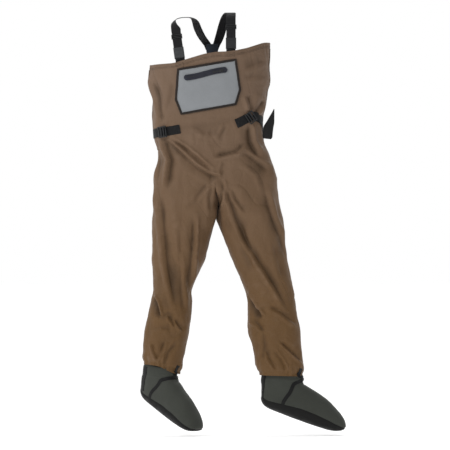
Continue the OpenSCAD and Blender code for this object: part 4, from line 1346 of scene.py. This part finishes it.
LEFT_OVER = [(-0.1385, -0.054, -0.043, -50, 0.0165), (-0.134, -0.036, -0.028, -84, 0.0160),
             (-0.118, -0.014, -0.0195, -92, 0.0165), (-0.095, 0.006, -0.0165, -88, 0.0165),
             (-0.074, 0.024, -0.0180, -74, 0.0165), (-0.060, 0.042, -0.030, -44, 0.0170),
             (-0.050, 0.064, -0.057, -30, 0.0175), (-0.036, 0.090, -0.085, -26, 0.0175),
             (-0.020, 0.1120, -0.107, -14, 0.0165), (-0.012, 0.1152, -0.120, -6, 0.0145),
             (-0.010, 0.1152, -0.136, 0, 0.010)]
RIGHT_OVER = [(0.075, -0.050, -0.010, 0, 0.0180), (0.074, -0.026, -0.001, -5, 0.0185),
              (0.069, 0.000, 0.000, -10, 0.0185), (0.062, 0.024, -0.005, -14, 0.0185),
              (0.053, 0.046, -0.020, -16, 0.0185), (0.044, 0.070, -0.046, -12, 0.0180),
              (0.035, 0.094, -0.078, -8, 0.0175), (0.026, 0.1130, -0.104, 0, 0.0160),
              (0.020, 0.1152, -0.118, 0, 0.0140), (0.018, 0.1152, -0.136, 0, 0.0090)]


def make_yoke():
    for which, sign in (("outer", 1), ("inner", -1)):
        low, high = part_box("yoke_patch_" + which)
        rows, cols = 16, 18
        face, back = np.zeros((rows + 1, cols + 1, 3)), np.zeros((rows + 1, cols + 1, 3))
        middle = (low + high) / 2
        half_w, half_h = (high.x - low.x) / 2, (high.z - low.z) / 2
        for i in range(rows + 1):
            for j in range(cols + 1):
                u, v = 2 * j / cols - 1, 2 * i / rows - 1
                taper = 1.0 - 0.10 * max(0, -v)
                px = u * half_w * taper * (1 - 0.06 * v ** 6)
                pz = v * half_h * (1 - 0.06 * u ** 6)
                lift = 0.0009 * (1 - max(abs(u), abs(v)) ** 4)
                y = (high.y if sign > 0 else low.y) + sign * lift
                face[i, j] = (middle.x + px, y, middle.z + pz)
                back[i, j] = (middle.x + px, y - sign * 0.0017, middle.z + pz)
        obj = closed_grid("yoke_%s_cloth" % which, face, back)
        lay_uv(obj.data, [(v.co.x, v.co.z) for v in obj.data.vertices])
        finish_piece(obj, "bib", "patch", ["yoke_patch_" + which])
        edge = [(-0.82, -0.82), (0.82, -0.82), (0.86, 0.82), (-0.86, 0.82), (-0.82, -0.82),
                (0.86, 0.82), (0.82, -0.82), (-0.86, 0.82)]
        y = (high.y if sign > 0 else low.y) + sign * 0.0009
        line = [(middle.x + u * half_w, y, middle.z + v * half_h) for u, v in edge]
        obj = stitches("yoke_stitch_" + which, line, [(0, sign, 0)] * len(line), 0.004, 0.003)
        finish_piece(obj, "bib", "black_thread")
    rows = [(0.004, 0.1152, -0.140), (0.004, 0.1152, -0.152)]
    rows += [tuple(onto(0.004, z, False, 0.0030)[0]) for z in (-0.170, -0.185, -0.205, -0.225)]
    path = smooth_path(rows, 0.004)
    obj = ribbon("back_strap_elastic", path, [np.array([BRACE_W / 2, 0, 0])] * len(path), WEB_T)
    finish_piece(obj, "bib", "elastic", ["back_strap"])
    low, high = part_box("back_strap_anchor")
    grid = np.array([[onto(x, z, False, 0.0056)[0] for x in np.linspace(low.x, high.x, 16)]
                     for z in np.linspace(low.z, high.z, 16)])
    grid = smooth_rows(grid, 4)
    obj = closed_grid("back_anchor_cloth", grid, grid - np.array([0, 0.0016, 0]))
    lay_uv(obj.data, [(v.co.x, v.co.z) for v in obj.data.vertices])
    finish_piece(obj, "bib", "patch", ["back_strap_anchor"])
    corners = [grid[1, 1], grid[1, -2], grid[-2, -2], grid[-2, 1], grid[1, 1], grid[-2, -2],
               grid[1, -2], grid[-2, 1]]
    line = [c + np.array([0, 0.0006, 0]) for c in corners]
    obj = stitches("back_anchor_stitch", line, [(0, 1, 0)] * len(line), 0.004, 0.003)
    finish_piece(obj, "bib", "black_thread")


# ---------------------------------------------------------------- seams
def make_seams():
    """Side seams of the bib as narrow taped ridges."""
    for side, column in (("left", Q), ("right", 3 * Q)):
        picked = [r * 4 * Q + column for r in range(HEM_ROWS + 1, TORSO_ROWS + 1)]
        picked = [i for i in picked if points[i][2] > HIP_ROW]
        centres = points[picked] + normals[picked] * 0.0008
        centres = smooth_path(centres[::3], 0.006)
        along = unit(np.gradient(centres, axis=0))
        out = np.array([-1.0 if side == "left" else 1.0, 0, 0])
        across = unit(np.cross(along, out)) * 0.006
        obj = ribbon(side + "_side_seam", centres, across, 0.0014, crown=0.0004)
        finish_piece(obj, "bib", "hem", [side + "_side_tape"])


def make_hem_stitch():
    for k, row in enumerate((HEM_ROWS - 1, HEM_ROWS)):
        ids = [row * 4 * Q + c for c in range(4 * Q)] + [row * 4 * Q]
        path = points[ids] + normals[ids] * 0.0004
        if k:
            path = path - UP * 0.001
        obj = stitches("top_hem_stitch_%d" % k, path, normals[ids])
        finish_piece(obj, "bib", "thread")


# ---------------------------------------------------------------- booties
FOOT = {"left": dict(at=(-0.193, -1.352), tilt=28.5, turn=-41, neck=(-0.064, 0.068), long=0.96),
        "right": dict(at=(0.262, -1.374), tilt=20, turn=0, neck=(-0.069, 0.080), long=1.045)}
# Sole side, instep side and half width of each ring, in the tilted foot's own frame
FOOT_RINGS = [((-0.058, -0.048), (0.086, 0.012), 0.049), ((-0.048, -0.076), (0.108, 0.006), 0.049),
              ((-0.036, -0.103), (0.134, -0.001), 0.049), ((-0.010, -0.117), (0.164, -0.009), 0.049),
              ((0.050, -0.120), (0.194, -0.019), 0.050), ((0.115, -0.121), (0.222, -0.033), 0.051),
              ((0.180, -0.120), (0.248, -0.049), 0.050), ((0.232, -0.116), (0.268, -0.066), 0.044),
              ((0.262, -0.106), (0.279, -0.083), 0.032), ((0.274, -0.096), (0.279, -0.091), 0.012)]
SEAM = [(0, 2.3), (35, 2.5), (59, 2.95), (72, 3.7), (85, 4.5), (105, 5.6), (126, 6.5), (180, 6.9)]


def turned(p, degrees):
    c, s = math.cos(math.radians(degrees)), math.sin(math.radians(degrees))
    return (p[0] * c + p[1] * s, -p[0] * s + p[1] * c)


def foot_rings(side):
    f = FOOT[side]
    lo, hi = f["neck"]
    drop = -0.018 if side == "left" else 0.0
    rings = [((lo + 0.006, 0.040), (hi - 0.004, 0.034 + drop), 0.050),
             ((lo, 0.020), (hi, 0.018 + drop), 0.051),
             ((lo - 0.004, -0.006), (hi + 0.006, 0.002 + drop * 0.8), 0.051)]
    for b, t, w in FOOT_RINGS:
        b, t = (tuple((q[0] * f["long"] if q[0] > 0.12 else q[0], q[1])) for q in (b, t))
        rings.append((turned(b, f["tilt"]), turned(t, f["tilt"]), w))
    return np.array([[*b, *t, w] for b, t, w in rings])


RINGS = {side: foot_rings(side) for side in FOOT}


def ring_at(side, s):
    """A ring between the listed ones, on a smooth curve through them."""
    r = RINGS[side]
    n = len(r)
    s = min(max(s, 0.0), n - 1.0)
    i = min(int(s), n - 2)
    t = s - i
    a, b, c, d = r[max(i - 1, 0)], r[i], r[i + 1], r[min(i + 2, n - 1)]
    v = 0.5 * ((2 * b) + (c - a) * t + (2 * a - 5 * b + 4 * c - d) * t ** 2
               + (3 * b - a - 3 * c + d) * t ** 3)
    return v[:2], v[2:4], max(v[4], 0.004)


def foot_point(side, s, angle, off=0.0):
    """A point of the bootie: s along its rings, angle 0 at the instep and 180 at the sole."""
    b, t, w = ring_at(side, s)
    f = FOOT[side]
    c, half = (b + t) / 2, np.linalg.norm(t - b) / 2
    d = (t - b) / (2 * half)
    a = math.radians(angle)
    cos, sin = math.cos(a), math.sin(a)
    u = math.copysign(abs(cos) ** (2 / 2.25), cos)
    v = math.copysign(abs(sin) ** (2 / 2.25), sin)
    p = c + d * (half + off) * u
    y = (w + off) * v
    turn = math.radians(f["turn"])
    return np.array([f["at"][0] + p[0] * math.cos(turn) - y * math.sin(turn),
                     p[0] * math.sin(turn) + y * math.cos(turn), f["at"][1] + p[1]])


def foot_normal(side, s, angle):
    p = foot_point(side, s, angle)
    ds = foot_point(side, s + 0.05, angle) - foot_point(side, s - 0.05, angle)
    da = foot_point(side, s, angle + 2) - foot_point(side, s, angle - 2)
    n = unit(np.cross(ds, da))
    out = p - foot_point(side, s, angle, -0.01)
    return n if n.dot(out) > 0 else -n


def surface_strip(name, side, path, half_width, lift, thickness):
    """A tape over the bootie along (s, angle) or (s, angle, half width) places."""
    path = [tuple(q) if len(q) > 2 else (*q, half_width) for q in path]
    rows = smooth_path(path, 0.12)
    centres = np.array([foot_point(side, s, a) + foot_normal(side, s, a) * lift
                        for s, a, _ in rows])
    ups = np.array([foot_normal(side, s, a) for s, a, _ in rows])
    halves = rows[:, 2:3]
    keep = [0]
    for i in range(1, len(centres)):
        if np.linalg.norm(centres[i] - centres[keep[-1]]) > 0.0028:
            keep.append(i)
    centres, ups, halves = centres[keep], ups[keep], halves[keep]
    for _ in range(2):
        centres[1:-1] = (centres[:-2] + 2 * centres[1:-1] + centres[2:]) / 4
    across = unit(np.cross(ups, unit(np.gradient(centres, axis=0)))) * halves
    obj = ribbon(name, centres, across, thickness, crown=0.0003)
    sink_edges(obj, side)
    return obj


def sink_edges(obj, side):
    """Presses a tape's edges down to the bootie so that they don't stand off."""
    tree = foot_trees[side]
    for v in obj.data.vertices:
        hit, normal, _, _ = tree.find_nearest(v.co)
        if hit is None:
            continue
        gap = (v.co - hit).dot(normal)
        if gap > 0.0016:
            v.co -= normal * (gap - 0.0016)
        elif gap < 0.0002:
            v.co += normal * (0.0002 - gap)


foot_trees = {}
# Angle of the front tape at the ankle, and how far the heel tape reaches to each side
FRONT_TAPE = {"left": 6, "right": -30}
HEEL_TAPE = {"left": (30, 74), "right": (38, 42)}


def make_heel_tape(side):
    """The tape up the back of the heel, widest at the ankle."""
    rows, cols = 34, 20
    face = np.zeros((rows + 1, cols + 1, 3))
    back = np.zeros((rows + 1, cols + 1, 3))
    for i in range(rows + 1):
        s = 0.6 + 4.3 * i / rows
        narrow = float(np.interp(s, (0.6, 1.5, 3.0, 4.9), (1.0, 0.95, 0.75, 0.5)))
        for j in range(cols + 1):
            u = 2 * j / cols - 1
            reach = HEEL_TAPE[side][1 if u > 0 else 0]
            hidden = reach - 38 if reach > 60 else 0
            a = 180 + u * (hidden + (reach - hidden) * narrow)
            n = foot_normal(side, s, a)
            p = foot_point(side, s, a)
            face[i, j] = p + n * (0.0012 + 0.0007 * math.sqrt(max(0.0, 1 - abs(u) ** 6)))
            back[i, j] = p - n * 0.0006
    return closed_grid(side + "_heel_tape_strip", face, back)


def make_bootie(side):
    columns, rows = 72, 92
    last = len(RINGS[side]) - 1
    grid, ups = [], []
    for i in range(rows + 1):
        s = last * (i / rows) ** 0.97
        ring, up = [], []
        for j in range(columns):
            a = 360 * j / columns
            p = foot_point(side, s, a)
            n = foot_normal(side, min(s, last - 0.15), a)
            ankle = math.exp(-((s - 2.3) / 0.9) ** 2) * max(0.0, math.cos(math.radians(a)))
            ripple = 0.0016 * ankle * math.sin(s * 9.0)
            ripple += 0.0011 * noise.noise(Vector(p * 22)) + 0.0005 * noise.noise(Vector(p * 70))
            ring.append(p + n * ripple)
            up.append(n)
        grid.append(ring)
        ups.append(up)
    grid, ups = np.array(grid), np.array(ups)
    flat = grid.reshape(-1, 3)
    quads_, n = [], columns
    for i in range(rows):
        for j in range(columns):
            k = (j + 1) % columns
            quads_.append((i * n + j, i * n + k, (i + 1) * n + k, (i + 1) * n + j))
    quads_ = np.array(quads_)
    net_normals = vertex_normals(flat, quads_)
    if (net_normals * ups.reshape(-1, 3)).sum() < 0:
        net_normals = -net_normals
        quads_ = quads_[:, ::-1]
    obj = shell(side + "_bootie_sock", flat, quads_, net_normals, np.zeros(len(flat)), 0.0035)
    close_toe(obj, rows, columns, len(flat))
    finish_piece(obj, None, "neoprene",
                 [side + "_bootie_quarter", side + "_bootie_vamp"])
    foot_trees[side] = BVHTree.FromPolygons([tuple(p) for p in flat], [tuple(q) for q in quads_])

    def bend(piece):
        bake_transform(piece)

    bend(obj)
    tape = make_heel_tape(side)
    finish_piece(tape, None, "tape", [side + "_heel_tape"])
    bend(tape)
    tape = surface_strip(side + "_front_tape_strip", side,
                         [(0.6, FRONT_TAPE[side]), (1.2, FRONT_TAPE[side]),
                          (2, FRONT_TAPE[side] * 0.7), (2.7, FRONT_TAPE[side] * 0.4)],
                         0.0095, 0.0008, 0.0014)
    finish_piece(tape, None, "tape", [side + "_ankle_tape"])
    bend(tape)
    path = [(float(np.interp(abs(a), [p[0] for p in SEAM], [p[1] for p in SEAM])), a)
            for a in range(-150, 151, 10)]
    tape = surface_strip(side + "_instep_tape_strip", side, path, 0.0068, 0.0009, 0.0013)
    finish_piece(tape, None, "tape", [side + "_instep_tape"])
    bend(tape)
    make_sole(side, last)


def make_hem_strip(side):
    """The front tape's end, glued up over the corner of the cuff."""
    x = -0.1365 if side == "left" else 0.3405
    hem = float(table(LEFT_HEM if side == "left" else RIGHT_HEM, x))
    centres, ups = [], []
    for dz in np.linspace(0.030, -0.001, 9):
        place = Vector((x + 0.1, -0.041, hem + dz))
        hit, normal, _, _ = surface.ray_cast(place, Vector((-1, 0, 0)))
        if hit is None:
            hit, normal, _, _ = surface.find_nearest(Vector((x, -0.041, hem + dz + 0.002)))
        normal = Vector(normal) if normal[0] > 0 else -Vector(normal)
        centres.append(np.array(hit + normal * 0.0016))
        ups.append(np.array(normal))
    centres, ups = np.array(centres), np.array(ups)
    for _ in range(3):
        centres[1:-1] = (centres[:-2] + 2 * centres[1:-1] + centres[2:]) / 4
    across = unit(np.cross(ups, unit(np.gradient(centres, axis=0)))) * 0.009
    obj = ribbon(side + "_hem_corner_tape", centres, across, 0.0014)
    finish_piece(obj, side + "_lower_leg", "tape")


def close_toe(obj, rows, columns, n):
    """Caps the toe, outside and inside."""
    import bmesh
    bm = bmesh.new()
    bm.from_mesh(obj.data)
    bm.verts.ensure_lookup_table()
    rim = [f for f in bm.faces if all(v.index % n >= rows * columns for v in f.verts)
           and len({v.index // n for v in f.verts}) == 2]
    bmesh.ops.delete(bm, geom=rim, context="FACES_ONLY")
    bm.verts.ensure_lookup_table()
    bm.faces.new([bm.verts[rows * columns + j] for j in range(columns)])
    bm.faces.new([bm.verts[n + rows * columns + j] for j in range(columns)][::-1])
    bmesh.ops.recalc_face_normals(bm, faces=bm.faces)
    bm.to_mesh(obj.data)
    bm.free()
    obj.data.polygons.foreach_set("use_smooth", np.ones(len(obj.data.polygons), bool))


# Half angle that the sole wraps, by place along the foot
SOLE_WRAP = [(4.2, 12), (4.8, 30), (5.5, 54), (6.0, 66), (7.0, 80), (8.0, 86), (9.0, 88),
             (10.0, 89), (11.0, 94), (12.0, 106)]


def make_sole(side, last):
    rows, cols = 60, 28
    face = np.zeros((rows + 1, cols + 1, 3))
    back = np.zeros((rows + 1, cols + 1, 3))
    for i in range(rows + 1):
        s = 4.2 + (last - 0.02 - 4.2) * i / rows
        wrap = float(np.interp(s, [p[0] for p in SOLE_WRAP], [p[1] for p in SOLE_WRAP]))
        for j in range(cols + 1):
            u = 2 * j / cols - 1
            a = 180 + u * wrap
            n = foot_normal(side, min(s, last - 0.15), a)
            p = foot_point(side, s, a)
            end = min(1.0, i / 3, (rows - i) / 2)
            lift = 0.0006 + 0.0030 * math.sqrt(max(0.0, 1 - abs(u) ** 5)) * end
            face[i, j] = p + n * lift
            back[i, j] = p - n * 0.0012
    obj = closed_grid(side + "_sole_rubber", face, back)
    finish_piece(obj, side + "_foot", "sole", [side + "_bootie_sole"])


# ---------------------------------------------------------------- stage
def area_light(name, place, aim, size, energy, tone=(1, 1, 1)):
    data = bpy.data.lights.new(name, "AREA")
    data.shape = "DISK"
    data.size = size
    data.energy = energy
    data.color = tone
    obj = bpy.data.objects.new(name, data)
    bpy.context.scene.collection.objects.link(obj)
    obj.location = place
    obj.rotation_euler = (Vector(aim) - Vector(place)).to_track_quat("-Z", "Y").to_euler()


def make_stage():
    floor_z = cad_box[0][2] - 0.012
    mesh = bpy.data.meshes.new("floor")
    size = 60
    mesh.from_pydata([(-size, -size, floor_z), (size, -size, floor_z), (size, size, floor_z),
                      (-size, size, floor_z)], [], [(0, 1, 2, 3)])
    mesh.update()
    floor = new_object("floor", mesh)
    p = Paint("pale_floor", 0.9)
    p.colour(p.mix(p.ramp(p.noise(1.5, 3), 0.3, 0.7), (0.93, 0.93, 0.93), (0.96, 0.96, 0.96)))
    p.shader.inputs["Emission Color"].default_value = (1, 1, 1, 1)
    p.shader.inputs["Emission Strength"].default_value = 0.34
    floor.data.materials.append(p.material)
    studio_light()
    aim = (0.05, 0, -0.75)
    area_light("key", (-3.1, -2.9, 1.7), aim, 0.6, 70)
    area_light("rim", (1.4, 2.6, 1.2), aim, 1.8, 26)
    bpy.context.scene.view_settings.view_transform = "Standard"


def studio_light():
    """White behind the object; in front of it bright from the upper left, dim from the right."""
    world = bpy.data.worlds.new("studio")
    bpy.context.scene.world = world
    world.use_nodes = True
    tree = world.node_tree
    shade = tree.nodes["Background"]
    shade.inputs["Strength"].default_value = 1.0
    where = tree.nodes.new("ShaderNodeTexCoord")

    def along(direction, low, high, to_low, to_high):
        dot = tree.nodes.new("ShaderNodeVectorMath")
        dot.operation = "DOT_PRODUCT"
        tree.links.new(where.outputs["Generated"], dot.inputs[0])
        dot.inputs[1].default_value = direction
        span = tree.nodes.new("ShaderNodeMapRange")
        span.interpolation_type = "SMOOTHSTEP"
        tree.links.new(dot.outputs["Value"], span.inputs["Value"])
        for key, value in (("From Min", low), ("From Max", high), ("To Min", to_low),
                           ("To Max", to_high)):
            span.inputs[key].default_value = value
        return span.outputs["Result"]

    behind = along((0, 1, 0), -0.1, 0.75, 0.0, 1.0)
    front = along((-0.62, -0.25, 0.74), -0.7, 0.9, 0.11, 0.72)
    mix = tree.nodes.new("ShaderNodeMix")
    tree.links.new(behind, mix.inputs[0])
    tree.links.new(front, mix.inputs[2])
    mix.inputs[3].default_value = 1.0
    tree.links.new(mix.outputs[0], shade.inputs["Color"])


make_pocket()
make_zipper()
make_belt()
make_brace("left", LEFT_OVER)
make_brace("right", RIGHT_OVER)
make_yoke()
make_seams()
make_hem_stitch()
for foot_side in ("left", "right"):
    make_bootie(foot_side)
    make_hem_strip(foot_side)
make_stage()
